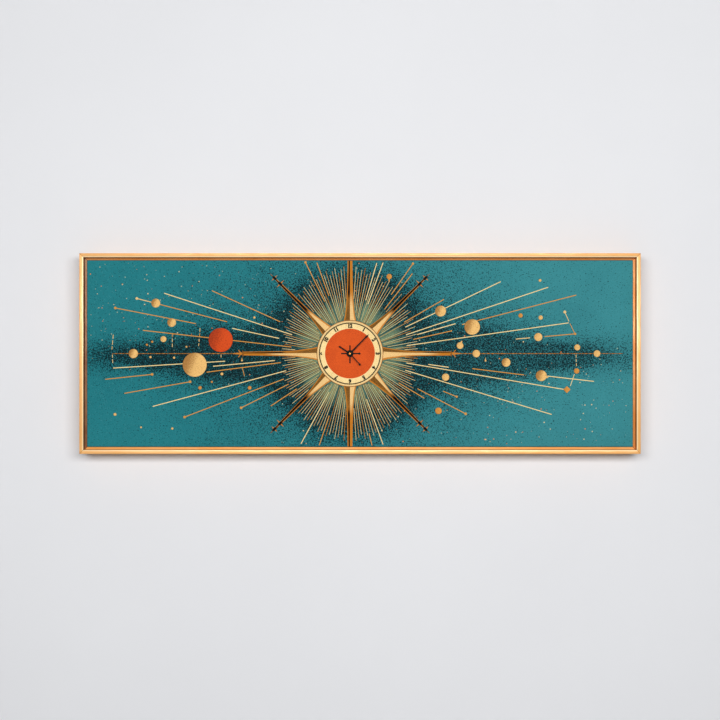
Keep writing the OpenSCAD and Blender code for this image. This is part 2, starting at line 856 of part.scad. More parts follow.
module battery() {
    centre_y = case_wall + battery_r + 0.1 - case_front;
    color("#3a3f46") translate([clock_x + 25 - battery_len, centre_y, battery_z])
        rotate([0, 90, 0]) {
            cylinder(h = battery_len, r = battery_r);
            translate([0, 0, battery_len]) cylinder(h = 1, r = 2.7);
        }
}

// Flat springs at the two ends of the bay, the left one bent to press on the cell.
module battery_contacts() {
    color(zinc) on_arbor() translate([0, 0, battery_z]) {
        plate(case_front - 13, case_front - 4) translate([inside - 0.5, -5]) square([0.5, 10]);
        plate(case_front - 13, case_front - 4) polygon([
            [-inside, -6], [0.5 - inside, -6], [0.5 - inside, -3], [25 - battery_len, 0],
            [25 - battery_len, 1.5], [-inside, -2]
        ]);
    }
}

// ---- Wheels ----

module second_wheel() {
    color(brass) {
        layer([case_front - second_back - hand_t - tube_proud, back_pivot]) circle(arbor_r);
        layer(third_layer + pinion_proud * [-1, 1])
            driver(pinion_teeth, third_teeth, train_gap, third_dir);
        layer(second_layer) driven(second_teeth, pinion_teeth, idler_gap, idler_dir + 180);
    }
}

module third_wheel() {
    color(brass) {
        layer([front_pivot, back_pivot], third_at) circle(pivot_r);
        layer(third_layer, third_at) driven(third_teeth, pinion_teeth, train_gap, third_dir);
        layer(centre_layer + pinion_proud * [-1, 1], third_at)
            driver(pinion_teeth, centre_teeth, train_gap, third_dir + 180);
    }
}

// The minute tube carries the wheel that the third wheel turns, and the motion work's pinion.
module centre_wheel() {
    color(brass) difference() {
        union() {
            layer([case_front - minute_back - hand_t - tube_proud, centre_layer[1] + 0.1])
                circle(minute_tube_r);
            layer(centre_layer) driven(centre_teeth, pinion_teeth, train_gap, third_dir + 180);
            layer(setting_layer + 0.1 * [-1, 1])
                driver(minute_teeth, setting_teeth, motion_gap, setting_dir);
        }
        layer([-case_t, case_t]) circle(arbor_r + running);
    }
}

module setting_wheel() {
    color(brass) {
        layer([front_pivot, case_t + 2.4], setting_at) circle(setting_r);
        layer(setting_layer, setting_at)
            driven(setting_teeth, minute_teeth, motion_gap, setting_dir);
        layer([hour_layer[0] - 0.1, setting_layer[0]], setting_at)
            driver(setting_pinion_teeth, hour_teeth, motion_gap, setting_dir + 180);
    }
}

// A ribbed knob behind the cover, pressed on the setting wheel's arbor.
module setting_knob() {
    color(white_plastic) layer([case_t + 0.4, case_t + 2.4], setting_at) difference() {
        gear(24, 0.4, 0);
        circle(setting_r);
    }
}

module hour_wheel() {
    color(white_plastic) difference() {
        union() {
            layer([case_front - hour_back - hand_t - tube_proud, hour_layer[1]])
                circle(hour_tube_r);
            layer(hour_layer)
                driven(hour_teeth, setting_pinion_teeth, motion_gap, setting_dir + 180);
        }
        layer([-case_t, case_t]) circle(minute_tube_r + running);
    }
}

module idler_wheel() {
    color(white_plastic) {
        layer([plate_layer[0] + 0.05, back_pivot], idler_at) circle(pivot_r);
        layer(second_layer + pinion_proud * [-1, 1], idler_at)
            driver(pinion_teeth, second_teeth, idler_gap, idler_dir + 180);
        layer(idler_layer, idler_at)
            driven(idler_teeth, pinion_teeth, rotor_gap, rotor_dir + 180);
    }
}

module rotor() {
    color("#5d6166") {
        layer([plate_layer[0] + 0.05, back_pivot], rotor_at) circle(pivot_r);
        layer(magnet_layer, rotor_at) circle(2.4);
        layer(idler_layer + pinion_proud * [-1, 1], rotor_at)
            driver(pinion_teeth, idler_teeth, rotor_gap, rotor_dir + 180);
    }
}

// ---- Hands ----

// A hand drawn pointing to twelve, turned to its angle.
module hand(back, angle) {
    color(ink) on_arbor() plate(back, back + hand_t) rotate(-angle) children();
}

module hour_hand() {
    hand(hour_back, hour_angle) difference() {
        union() {
            circle(4.6);
            polygon([[-1.4, 0], [1.4, 0], [1.1, hour_len - 1], [0, hour_len], [-1.1, hour_len - 1]]);
            translate([0, hour_len - 2.2]) circle(1.5);
        }
        circle(hour_tube_r);
    }
}

module minute_hand() {
    spade = minute_len - 7;
    hand(minute_back, minute_angle) difference() {
        union() {
            circle(3.6);
            polygon([
                [-1.4, 0], [1.4, 0], [0.9, spade - 2], [1.7, spade], [0, minute_len], [-1.7, spade],
                [-0.9, spade - 2]
            ]);
        }
        circle(minute_tube_r);
    }
}

module second_hand() {
    hand(second_back, second_angle) difference() {
        union() {
            circle(2.6);
            polygon([[-0.9, -5], [0.9, -5], [0.7, second_len - 1.8], [-0.7, second_len - 1.8]]);
            translate([0, second_len - 1.8]) circle(1.8);
        }
        circle(arbor_r);
    }
}

// A domed brass cap pressed on the end of the second arbor.
module hand_cap() {
    color(brass) translate([clock_x, -second_back - hand_t, 0]) rotate([90, 0, 0])
        rotate_extrude() difference() {
            union() {
                square([cap_r, cap_r / 3]);
                intersection() {
                    translate([0, -cap_r]) circle(1.5 * cap_r);
                    translate([0, cap_r / 3]) square([cap_r, cap_r / 3]);
                }
            }
            square([arbor_r, tube_proud]);
        }
}

rail_top();
rail_bottom();
rail_left();
rail_right();
corner_brackets();
short_screws();
wall_bumpers();
bar_top();
bar_bottom();
bar_left();
bar_right();
cross_braces();
movement_board();
canvas();
canvas_staples();
panel_screws();
hanger_straps();
d_ring_left();
d_ring_right();
dial_plate();
chapter_ring();
bezel();
dial_cross();
dial_washer();
dial_nut();
ray_north();
ray_northeast();
ray_east();
ray_southeast();
ray_south();
ray_southwest();
ray_west();
ray_northwest();
fine_rays();
long_rays();
gold_discs();
orange_discs();
movement_case();
movement_cover();
threaded_bush();
rubber_washer();
train_plate();
circuit_board();
stator();
coil();
battery();
battery_contacts();
rotor();
idler_wheel();
second_wheel();
third_wheel();
centre_wheel();
setting_wheel();
setting_knob();
hour_wheel();
hour_hand();
minute_hand();
second_hand();
hand_cap();
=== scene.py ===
import math

import bmesh
import bpy
from mathutils import Matrix, Vector


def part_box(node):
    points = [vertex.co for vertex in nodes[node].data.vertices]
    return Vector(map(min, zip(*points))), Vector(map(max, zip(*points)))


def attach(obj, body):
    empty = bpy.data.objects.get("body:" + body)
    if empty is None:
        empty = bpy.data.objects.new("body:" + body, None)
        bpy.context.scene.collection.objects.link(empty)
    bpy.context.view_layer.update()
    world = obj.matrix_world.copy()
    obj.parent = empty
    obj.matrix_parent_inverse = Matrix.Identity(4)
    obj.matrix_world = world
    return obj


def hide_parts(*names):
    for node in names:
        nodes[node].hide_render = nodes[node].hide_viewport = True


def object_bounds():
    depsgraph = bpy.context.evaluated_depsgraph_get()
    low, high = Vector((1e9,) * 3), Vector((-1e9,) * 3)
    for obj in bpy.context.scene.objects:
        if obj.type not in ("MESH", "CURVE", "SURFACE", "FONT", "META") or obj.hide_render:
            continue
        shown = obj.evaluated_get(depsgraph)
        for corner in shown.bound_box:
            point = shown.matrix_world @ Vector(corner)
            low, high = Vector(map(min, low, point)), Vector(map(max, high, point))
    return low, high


# A sunburst wall clock in a gilt float frame. Metres, the wall is y = 0 and the front faces -y.
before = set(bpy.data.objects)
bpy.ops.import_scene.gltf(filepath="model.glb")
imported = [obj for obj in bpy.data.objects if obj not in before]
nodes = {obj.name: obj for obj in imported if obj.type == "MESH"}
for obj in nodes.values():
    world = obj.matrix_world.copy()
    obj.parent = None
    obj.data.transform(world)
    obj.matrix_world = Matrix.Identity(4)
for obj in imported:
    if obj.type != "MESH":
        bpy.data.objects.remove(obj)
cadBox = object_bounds()
scene = bpy.context.scene
mm = 0.001

canvasLow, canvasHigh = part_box("canvas")
bezelLow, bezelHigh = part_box("bezel")
arbor = (bezelLow + bezelHigh) / 2
canvasFront = canvasLow.y
bezelRadius = (bezelHigh.x - bezelLow.x) / 2
frameHalf = Vector((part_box("rail_right")[1].x, 0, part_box("rail_top")[1].z))


# Small helpers for node trees

def tone(red, green, blue):
    parts = [value / 255 for value in (red, green, blue)]
    return [p / 12.92 if p < 0.04045 else ((p + 0.055) / 1.055) ** 2.4 for p in parts] + [1]


def feed(tree, value, socket):
    if isinstance(value, bpy.types.NodeSocket):
        tree.links.new(value, socket)
    else:
        socket.default_value = value


def addNode(tree, kind, inputs=None, **settings):
    node = tree.nodes.new(kind)
    for name, value in settings.items():
        setattr(node, name, value)
    for name, value in (inputs or {}).items():
        feed(tree, value, node.inputs[name])
    return node


def calc(tree, operation, *values, clamp=False):
    node = addNode(tree, "ShaderNodeMath", operation=operation, use_clamp=clamp)
    for socket, value in zip(node.inputs, values):
        feed(tree, value, socket)
    return node.outputs[0]


def times(tree, *values, clamp=False):
    return calc(tree, "MULTIPLY", *values, clamp=clamp)


def timesPlus(tree, first, second, added):
    return calc(tree, "MULTIPLY_ADD", first, second, added)


def minus(tree, first, second):
    return calc(tree, "SUBTRACT", first, second)


def absolute(tree, value):
    return calc(tree, "ABSOLUTE", value)


def between(tree, value, low, high, start=0.0, end=1.0):
    inputs = {"Value": value, "From Min": low, "From Max": high, "To Min": start, "To Max": end}
    node = addNode(tree, "ShaderNodeMapRange", inputs, interpolation_type="SMOOTHSTEP")
    return node.outputs["Result"]


def blendTone(tree, mask, below, above):
    node = addNode(tree, "ShaderNodeMix", data_type="RGBA")
    for index, value in ((0, mask), (6, below), (7, above)):
        feed(tree, value, node.inputs[index])
    return node.outputs[2]


def stain(tree, mask, share, below, above):
    # a blend in which the mask at its fullest lets only this share through
    return blendTone(tree, times(tree, mask, share), below, above)


def noise(tree, spot, scale, detail=2.0, roughness=0.5):
    inputs = {"Vector": spot, "Scale": scale, "Detail": detail, "Roughness": roughness}
    return addNode(tree, "ShaderNodeTexNoise", inputs).outputs[0]


def scaled(tree, spot, factors, shift=(0, 0, 0)):
    inputs = {"Vector": spot, "Scale": factors, "Location": shift}
    return addNode(tree, "ShaderNodeMapping", inputs).outputs[0]


def vectors(tree, operation, first, second):
    node = addNode(tree, "ShaderNodeVectorMath", operation=operation)
    feed(tree, first, node.inputs[0])
    feed(tree, second, node.inputs[1])
    return node.outputs


def split(tree, spot):
    return addNode(tree, "ShaderNodeSeparateXYZ", {"Vector": spot}).outputs


def fromArbor(tree, spot):
    # how far a point stands to the right of the arbor, above it, and from it
    x, _, z = split(tree, spot)
    dx = minus(tree, x, arbor.x)
    dz = minus(tree, z, arbor.z)
    radius = calc(tree, "SQRT", calc(tree, "ADD", times(tree, dx, dx), times(tree, dz, dz)))
    return dx, dz, radius


def bell(tree, value, centre, width):
    # 1 at the centre, falling away on both sides
    offset = calc(tree, "DIVIDE", minus(tree, value, centre), width)
    return calc(tree, "EXPONENT", times(tree, times(tree, offset, offset), -1.0))


def startGroup(name, values, *results):
    # a shared effect that takes a place, numbers and directions, and gives numbers
    group = bpy.data.node_groups.new(name, "ShaderNodeTree")
    group.interface.new_socket("Place", in_out="INPUT", socket_type="NodeSocketVector")
    for socketName, value in values.items():
        kind = "NodeSocketVector" if isinstance(value, tuple) else "NodeSocketFloat"
        socket = group.interface.new_socket(socketName, in_out="INPUT", socket_type=kind)
        socket.default_value = value
    for socketName in results:
        group.interface.new_socket(socketName, in_out="OUTPUT", socket_type="NodeSocketFloat")
    return group, group.nodes.new("NodeGroupInput").outputs, group.nodes.new("NodeGroupOutput").inputs


def place(tree, group, **inputs):
    # a shared effect, with this material's own values
    node = tree.nodes.new("ShaderNodeGroup")
    node.node_tree = group
    for name, value in inputs.items():
        feed(tree, value, node.inputs[name])
    return node.outputs


def dots(tree, spot, grain, amount, softness=0.2):
    inputs = {"Place": spot, "Grain": grain, "Amount": amount, "Softness": softness}
    return place(tree, stipple, **inputs)["Grains"]


def wear(tree, spot, blotch, scratch=2 * mm):
    return place(tree, handling, **{"Place": spot, "Blotch Size": blotch, "Scratch Size": scratch})


def startMaterial(name, specular=0.5, **values):
    material = bpy.data.materials.new(name)
    material.use_nodes = True
    tree = material.node_tree
    shader = tree.nodes["Principled BSDF"]
    shader.inputs["Specular IOR Level"].default_value = specular
    for socketName, value in values.items():
        shader.inputs[socketName].default_value = value
    return material, tree, addNode(tree, "ShaderNodeTexCoord").outputs["Object"]


def endMaterial(material, colour, height, distance, strength, rough=None):
    tree = material.node_tree
    shader = tree.nodes["Principled BSDF"]
    tree.links.new(colour, shader.inputs["Base Color"])
    if rough:
        tree.links.new(rough, shader.inputs["Roughness"])
    inputs = {"Strength": strength, "Distance": distance, "Height": height}
    bump = addNode(tree, "ShaderNodeBump", inputs)
    tree.links.new(bump.outputs["Normal"], shader.inputs["Normal"])
    return material


# Shared effects

def makeStipple():
    # hand-stippled grains: Amount is the share of the surface that they cover
    values = {"Grain": 2 * mm, "Amount": 0.3, "Softness": 0.2}
    group, given, out = startGroup("Stipple", values, "Grains")
    raw = noise(group, given["Place"], calc(group, "DIVIDE", 1.0, given["Grain"]), 1.0, 0.6)
    spread = timesPlus(group, minus(group, raw, 0.5), 2.6, 0.5)
    limit = minus(group, 1.0, given["Amount"])
    low = minus(group, limit, given["Softness"])
    high = calc(group, "ADD", limit, given["Softness"])
    group.links.new(between(group, spread, low, high), out["Grains"])
    return group


def makeHandling():
    # soft blotches and fine scratches from handling
    values = {"Blotch Size": 30 * mm, "Scratch Size": 2 * mm}
    group, given, out = startGroup("Handling", values, "Blotches", "Scratches")
    blotch = noise(group, given["Place"], calc(group, "DIVIDE", 1.0, given["Blotch Size"]), 3.0, 0.6)
    group.links.new(between(group, blotch, 0.3, 0.7), out["Blotches"])
    thin = scaled(group, given["Place"], (1.0, 1.0, 0.12))
    scratch = noise(group, thin, calc(group, "DIVIDE", 1.0, given["Scratch Size"]), 2.0, 0.7)
    group.links.new(between(group, scratch, 0.35, 0.65), out["Scratches"])
    return group


def makeBrushing():
    # fine lines along the direction whose Stretch is smallest
    values = {"Stretch": (1, 1, 1), "Spacing": 0.8 * mm}
    group, given, out = startGroup("Brushing", values, "Lines")
    drawn = vectors(group, "MULTIPLY", given["Place"], given["Stretch"])[0]
    lines = noise(group, drawn, calc(group, "DIVIDE", 1.0, given["Spacing"]), 2.0, 0.55)
    group.links.new(between(group, lines, 0.3, 0.7), out["Lines"])
    return group


def makeWeave():
    # plain cloth: threads cross over and under
    group, given, out = startGroup("Weave", {"Thread": 0.9 * mm}, "Height")
    x, _, z = split(group, given["Place"])
    turn = calc(group, "DIVIDE", math.pi, given["Thread"])
    across = calc(group, "SINE", times(group, x, turn))
    upright = calc(group, "SINE", times(group, z, turn))
    group.links.new(timesPlus(group, times(group, across, upright), 0.5, 0.5), out["Height"])
    return group


def makeWood():
    # straight grain along the direction whose Stretch is smallest
    values = {"Stretch": (1, 1, 1), "Ring": 5 * mm}
    group, given, out = startGroup("WoodGrain", values, "Rings", "Pores")
    drawn = vectors(group, "MULTIPLY", given["Place"], given["Stretch"])[0]
    drift = noise(group, drawn, 18.0)
    parts = split(group, drawn)
    radius = calc(group, "ADD", calc(group, "ADD", parts[1], parts[2]), parts[0])
    phase = timesPlus(group, drift, 9.0, calc(group, "DIVIDE", radius, given["Ring"]))
    wave = timesPlus(group, calc(group, "SINE", times(group, phase, 3.0)), 0.5, 0.5)
    group.links.new(calc(group, "POWER", wave, 2.0), out["Rings"])
    pores = noise(group, drawn, 900.0, 2.0, 0.6)
    group.links.new(between(group, pores, 0.45, 0.62), out["Pores"])
    return group


def makeBurstPlace():
    # a point's distance from the arbor along a ray, and its distance to the ray's right
    values = {"Centre": (0, 0, 0), "Outward": (0, 0, 1), "Sideways": (1, 0, 0)}
    group, given, out = startGroup("BurstPlace", values, "Along", "Across")
    offset = vectors(group, "SUBTRACT", given["Place"], given["Centre"])[0]
    for direction, result in (("Outward", "Along"), ("Sideways", "Across")):
        reach = vectors(group, "DOT_PRODUCT", offset, given[direction])["Value"]
        group.links.new(reach, out[result])
    return group


stipple = makeStipple()
handling = makeHandling()
brushing = makeBrushing()
weave = makeWeave()
woodGrain = makeWood()
burstPlace = makeBurstPlace()
print("shared effects ready")


# Finishes

# the pale gold serves both the painted highlight strip on the face and the rubbed blotches
frameGilt = {
    "gold": tone(243, 178, 102), "highlightAndRubbed": tone(255, 222, 170), "shade": tone(176, 92, 26),
    "line": tone(120, 62, 24), "highlightFrom": 4.0 * mm, "highlightTo": 5.6 * mm,
    "lineFrom": 6.5 * mm, "faceWidth": 7 * mm,
    "wood": tone(206, 162, 104), "woodDark": tone(168, 120, 70),
    "backFrom": 9.0 * mm, "backTo": 8.0 * mm,
}


def frameGiltFinish(name, stretch, shade, step):
    # gold leaf over red clay, with a painted highlight as a paler strip along the inner edge of the face,
    # and painted shade and light on the inner wall and step
    material, tree, spot = startMaterial(name, 0.3, Metallic=0.15, Roughness=0.42)
    x, y, z = split(tree, spot)
    fromSide = minus(tree, frameHalf.x, absolute(tree, x))
    fromTop = minus(tree, frameHalf.z, absolute(tree, z))
    inward = calc(tree, "MINIMUM", fromSide, fromTop)
    # painted highlight: the paler strip along the inner edge of the face
    paintedHighlight = between(tree, inward, frameGilt["highlightFrom"], frameGilt["highlightTo"])
    face = blendTone(tree, paintedHighlight, frameGilt["gold"], frameGilt["highlightAndRubbed"])
    beyond = between(tree, inward, frameGilt["lineFrom"], frameGilt["faceWidth"])
    # painted shade and painted light: the inner wall and the step take this rail's own tones, darkest on the
    # left rail and lightest on the bottom rail
    deep = between(tree, y, canvasFront - 4.5 * mm, canvasFront + 2 * mm)
    inner = blendTone(tree, deep, shade, step)
    colour = blendTone(tree, beyond, face, inner)
    lines = place(tree, brushing, Place=spot, Stretch=stretch, Spacing=0.7 * mm)["Lines"]
    worn = wear(tree, spot, 50 * mm)
    colour = stain(tree, lines, 0.14, colour, frameGilt["shade"])
    colour = stain(tree, worn["Blotches"], 0.16, colour, frameGilt["highlightAndRubbed"])
    mitre = absolute(tree, minus(tree, fromSide, fromTop))
    seam = between(tree, mitre, 0.5 * mm, 0.12 * mm)
    colour = stain(tree, seam, 0.75, colour, frameGilt["line"])
    # the back is plain wood
    back = between(tree, absolute(tree, y), frameGilt["backFrom"], frameGilt["backTo"])
    back = times(tree, back, between(tree, inward, 0.3 * mm, 0.8 * mm))
    bare = blendTone(tree, lines, frameGilt["wood"], frameGilt["woodDark"])
    colour = blendTone(tree, back, colour, bare)
    rough = between(tree, lines, 0.0, 1.0, 0.30, 0.46)
    return endMaterial(material, colour, lines, 0.05 * mm, 0.5, rough)


canvasPaint = {
    "tealLeft": tone(38, 126, 134), "tealRight": tone(61, 140, 147), "night": tone(6, 22, 26),
    "deepTeal": tone(14, 76, 86), "haze": tone(122, 146, 116), "olive": tone(84, 88, 44),
    "spark": tone(92, 166, 170), "edge": tone(40, 132, 142), "grain": 1.9 * mm,
    "tealFrom": -0.40, "tealTo": 0.42, "bandAt": -4 * mm, "bandHeight": 37 * mm,
    "bandFull": 0.26, "bandGone": 0.52, "ringAt": 112 * mm, "ringWidth": 36 * mm,
    "glowWidth": 0.30, "endsHeight": 85 * mm, "cornerFull": 0.20, "cornerGone": 0.46,
    "hazeFull": 70 * mm, "hazeGone": 102 * mm,
}


def paintedCanvasFinish():
    # teal ground, darkened by stippled grains along the middle and round the burst
    paint = canvasPaint
    material, tree, spot = startMaterial("paintedCanvas", 0.04, Roughness=0.72)
    x, _, z = split(tree, spot)
    dx, dz, radius = fromArbor(tree, spot)
    rightwards = between(tree, x, paint["tealFrom"], paint["tealTo"])
    teal = blendTone(tree, rightwards, paint["tealLeft"], paint["tealRight"])
    cloud = noise(tree, scaled(tree, spot, (1.0, 0.0, 1.0)), 9.0, 3.0, 0.6)
    teal = blendTone(tree, between(tree, cloud, 0.35, 0.75, 0.0, 0.15), teal, paint["deepTeal"])

    # how many dark grains stand where
    band = bell(tree, dz, paint["bandAt"], paint["bandHeight"])
    bandEnds = between(tree, absolute(tree, dx), paint["bandGone"], paint["bandFull"])
    ringDark = bell(tree, radius, paint["ringAt"], paint["ringWidth"])
    wide = bell(tree, radius, 0.0, paint["glowWidth"])
    ends = bell(tree, dz, 0.0, paint["endsHeight"])
    amount = times(tree, times(tree, band, bandEnds), 0.85)
    amount = timesPlus(tree, ringDark, 0.55, amount)
    amount = timesPlus(tree, wide, 0.32, amount)
    amount = timesPlus(tree, ends, 0.22, amount)
    patch = noise(tree, scaled(tree, spot, (1.0, 0.0, 1.0)), 22.0, 2.0, 0.5)
    amount = timesPlus(tree, minus(tree, patch, 0.5), 0.30, amount)
    corner = between(tree, radius, paint["cornerGone"], paint["cornerFull"])
    amount = times(tree, amount, calc(tree, "MAXIMUM", corner, band))
    amount = calc(tree, "MINIMUM", amount, between(tree, dx, 0.05, 0.25, 0.78, 0.62), clamp=True)
    coarse = dots(tree, spot, paint["grain"], amount, 0.16)
    fine = dots(tree, spot, 0.8 * mm, times(tree, amount, 0.6))
    colour = blendTone(tree, times(tree, amount, 0.55, clamp=True), teal, paint["deepTeal"])
    colour = stain(tree, fine, 0.6, colour, paint["deepTeal"])
    colour = stain(tree, coarse, 0.93, colour, paint["night"])
    bright = dots(tree, scaled(tree, spot, (1.0, 1.0, 1.0), (0.3, 0.1, 0.7)), 1.3 * mm, 0.06, 0.1)
    colour = stain(tree, bright, 0.35, colour, paint["spark"])

    # the pale haze round the dial, streaked outwards
    angle = calc(tree, "ARCTAN2", dx, dz)
    polar = addNode(tree, "ShaderNodeCombineXYZ",
                    {"X": times(tree, angle, 26.0), "Y": times(tree, radius, 9.0)})
    streak = noise(tree, polar.outputs[0], 1.0, 2.0, 0.5)
    reach = timesPlus(tree, minus(tree, streak, 0.5), 0.06, radius)
    haze = between(tree, reach, paint["hazeGone"], paint["hazeFull"])
    hazeTone = blendTone(tree, between(tree, streak, 0.42, 0.62, 0.0, 0.8), paint["haze"], paint["deepTeal"])
    olive = dots(tree, spot, 1.5 * mm, 0.34)
    hazeTone = stain(tree, olive, 0.55, hazeTone, paint["olive"])
    colour = stain(tree, haze, 0.9, colour, hazeTone)

    # painted highlight: a thin lighter line where the canvas turns over the bars
    fromEnd = minus(tree, canvasHigh.x, absolute(tree, x))
    fromRim = minus(tree, canvasHigh.z, absolute(tree, z))
    edgeHighlight = between(tree, calc(tree, "MINIMUM", fromEnd, fromRim), 1.4 * mm, 0.4 * mm)
    colour = stain(tree, edgeHighlight, 0.35, colour, paint["edge"])
    cloth = place(tree, weave, Place=spot)["Height"]
    rough = between(tree, coarse, 0.0, 1.0, 0.74, 0.62)
    return endMaterial(material, colour, cloth, 0.12 * mm, 0.55, rough)


def rawCanvasFinish():
    material, tree, spot = startMaterial("rawCanvas", **{"Roughness": 0.9, "Sheen Weight": 0.25})
    cloth = place(tree, weave, Place=spot)["Height"]
    worn = wear(tree, spot, 60 * mm)
    # painted shade and highlight: darker where the weave dips, lighter on the raised threads
    colour = blendTone(tree, cloth, tone(206, 196, 174), tone(232, 225, 206))
    colour = stain(tree, worn["Blotches"], 0.25, colour, tone(190, 178, 150))
    return endMaterial(material, colour, cloth, 0.2 * mm, 0.7)


giltTones = {
    "cream": tone(244, 202, 136), "gold": tone(222, 170, 96), "amber": tone(200, 124, 38),
    "brown": tone(164, 106, 40), "umber": tone(112, 78, 34), "ink": tone(8, 11, 11),
    "ember": tone(150, 46, 18),
}


def rayFinish(name, direction, lightSide, inlay):
    # painted light and shade: the facet on the lit side cream and the other amber, as if lit from the lower
    # right; an amber outline, and a black inlay towards the tip
    turn = math.radians(direction)
    material, tree, spot = startMaterial(name, 0.06, Roughness=0.5)
    outward = (math.sin(turn), 0, math.cos(turn))
    sideways = (math.cos(turn), 0, -math.sin(turn))
    at = place(tree, burstPlace, Place=spot, Centre=arbor, Outward=outward, Sideways=sideways)
    along, across = at["Along"], at["Across"]
    normal = addNode(tree, "ShaderNodeTexCoord").outputs["Normal"]
    # painted light: which way each facet faces decides whether it is painted pale or dark
    facing = vectors(tree, "DOT_PRODUCT", normal, [lightSide * part for part in sideways])["Value"]
    light = between(tree, facing, -0.03, 0.03)
    grains = dots(tree, spot, 1.3 * mm, 0.36)
    nearDial = between(tree, along, 0.110, 0.066)
    dark = blendTone(tree, nearDial, giltTones["brown"], giltTones["umber"])
    dark = stain(tree, grains, 0.4, dark, giltTones["amber"])
    pale = stain(tree, grains, 0.3, giltTones["cream"], giltTones["gold"])
    paleEnd = between(tree, along, inlay["paleTo"] - 22 * mm, inlay["paleTo"] + 8 * mm)
    pale = blendTone(tree, paleEnd, pale, giltTones["amber"])
    colour = blendTone(tree, light, dark, pale)
    begun = between(tree, along, inlay["from"] - 7 * mm, inlay["from"] + 7 * mm)
    covered = begun if inlay["both"] else times(tree, begun, minus(tree, 1.0, light))
    colour = blendTone(tree, covered, colour, giltTones["ink"])
    height = minus(tree, canvasFront, split(tree, spot)[1])
    outline = between(tree, height, inlay["outline"] + 0.08 * mm, inlay["outline"] - 0.08 * mm)
    colour = stain(tree, outline, 0.92, colour, giltTones["amber"])
    if inlay["both"]:
        # the barbs stand out beside the black middle
        barb = between(tree, absolute(tree, across), 2.0 * mm, 2.5 * mm)
        barb = times(tree, barb, between(tree, along, 0.154, 0.158))
        colour = blendTone(tree, barb, colour, giltTones["amber"])
    else:
        beyond = between(tree, along, inlay["to"] - 1 * mm, inlay["to"] + 1 * mm)
        colour = blendTone(tree, beyond, colour, giltTones["amber"])
    if "dashFrom" in inlay:
        gaps = noise(tree, scaled(tree, spot, (1.0, 0.0, 0.1)), 260.0, 1.0, 0.5)
        dashes = between(tree, along, inlay["dashFrom"] - 1 * mm, inlay["dashFrom"] + 1 * mm)
        dashes = times(tree, dashes, between(tree, gaps, 0.44, 0.54))
        colour = stain(tree, dashes, 0.85, colour, giltTones["umber"])
    return endMaterial(material, colour, grains, 0.05 * mm, 0.6)


def wireFinish():
    # thin rays: pale or amber by the piece's own tint, lost in the haze near the dial
    material, tree, spot = startMaterial("wirePaint", 0.06, Roughness=0.55)
    radius = fromArbor(tree, spot)[2]
    tint = addNode(tree, "ShaderNodeAttribute", attribute_name="tint").outputs["Fac"]
    grains = dots(tree, spot, 2.2 * mm, 0.35, 0.25)
    colour = blendTone(tree, tint, tone(206, 132, 28), tone(246, 222, 160))
    colour = stain(tree, grains, 0.3, colour, giltTones["gold"])
    hazy = between(tree, radius, 104 * mm, 70 * mm)
    colour = stain(tree, hazy, 0.4, colour, tone(140, 158, 112))
    return endMaterial(material, colour, grains, 0.04 * mm, 0.5)


def discFinish(name, ground, warm, shade, crescent):
    # a disc with grains all over and a shaded side, set out on its own UV map
    material, tree, spot = startMaterial(name, 0.08, Roughness=0.6)
    own = addNode(tree, "ShaderNodeUVMap", uv_map="discPlace").outputs[0]
    u, v, _ = split(tree, own)
    depth = addNode(tree, "ShaderNodeAttribute", attribute_name="depth").outputs["Fac"]
    warmth = addNode(tree, "ShaderNodeAttribute", attribute_name="warmth").outputs["Fac"]
    shift = calc(tree, "ADD", times(tree, u, -0.8), times(tree, v, 0.3))
    shaded = times(tree, between(tree, shift, -0.3, 0.7, 0.0, crescent), depth)
    grains = dots(tree, spot, 1.4 * mm, timesPlus(tree, shaded, 0.7, 0.16))
    colour = blendTone(tree, warmth, ground, warm)
    colour = stain(tree, shaded, 0.7, colour, shade)
    colour = stain(tree, grains, 0.5, colour, shade)
    return endMaterial(material, colour, grains, 0.05 * mm, 0.6)


def enamelFinish(name, ground, shade, rimFrom, rimTo):
    # flat enamel, stippled more thickly towards the rim of the dial
    material, tree, spot = startMaterial(name, 0.06, Roughness=0.56)
    radius = fromArbor(tree, spot)[2]
    amount = between(tree, radius, rimFrom, rimTo, 0.14, 0.34)
    grains = dots(tree, spot, 1.4 * mm, amount, 0.22)
    cloud = noise(tree, spot, 60.0, 2.0, 0.5)
    colour = stain(tree, grains, 0.5, ground, shade)
    colour = blendTone(tree, between(tree, cloud, 0.4, 0.7, 0.0, 0.14), colour, shade)
    return endMaterial(material, colour, grains, 0.04 * mm, 0.6)


def bezelFinish():
    # cream gold, with painted shade as an amber band round the outer edge
    material, tree, spot = startMaterial("bezelGilt", 0.12, Roughness=0.5)
    radius = fromArbor(tree, spot)[2]
    grains = dots(tree, spot, 1.3 * mm, 0.3, 0.25)
    colour = stain(tree, grains, 0.35, tone(252, 220, 156), giltTones["gold"])
    # painted shade along the outer edge of the ring
    outer = between(tree, radius, bezelRadius - 1.7 * mm, bezelRadius - 0.8 * mm)
    colour = stain(tree, outer, 0.85, colour, tone(204, 128, 52))
    return endMaterial(material, colour, grains, 0.05 * mm, 0.5)


def metalFinish(name, base, worn, roughness, metallic=1.0, specular=0.5):
    material, tree, spot = startMaterial(name, specular, Metallic=metallic)
    lines = place(tree, brushing, Place=spot, Stretch=(0.1, 1, 1), Spacing=0.4 * mm)["Lines"]
    marks = wear(tree, spot, 6 * mm, 0.5 * mm)
    colour = stain(tree, marks["Blotches"], 0.5, base, worn)
    rough = timesPlus(tree, lines, 0.16, roughness - 0.08)
    rough = timesPlus(tree, marks["Blotches"], 0.08, rough)
    return endMaterial(material, colour, lines, 0.015 * mm, 0.5, rough)


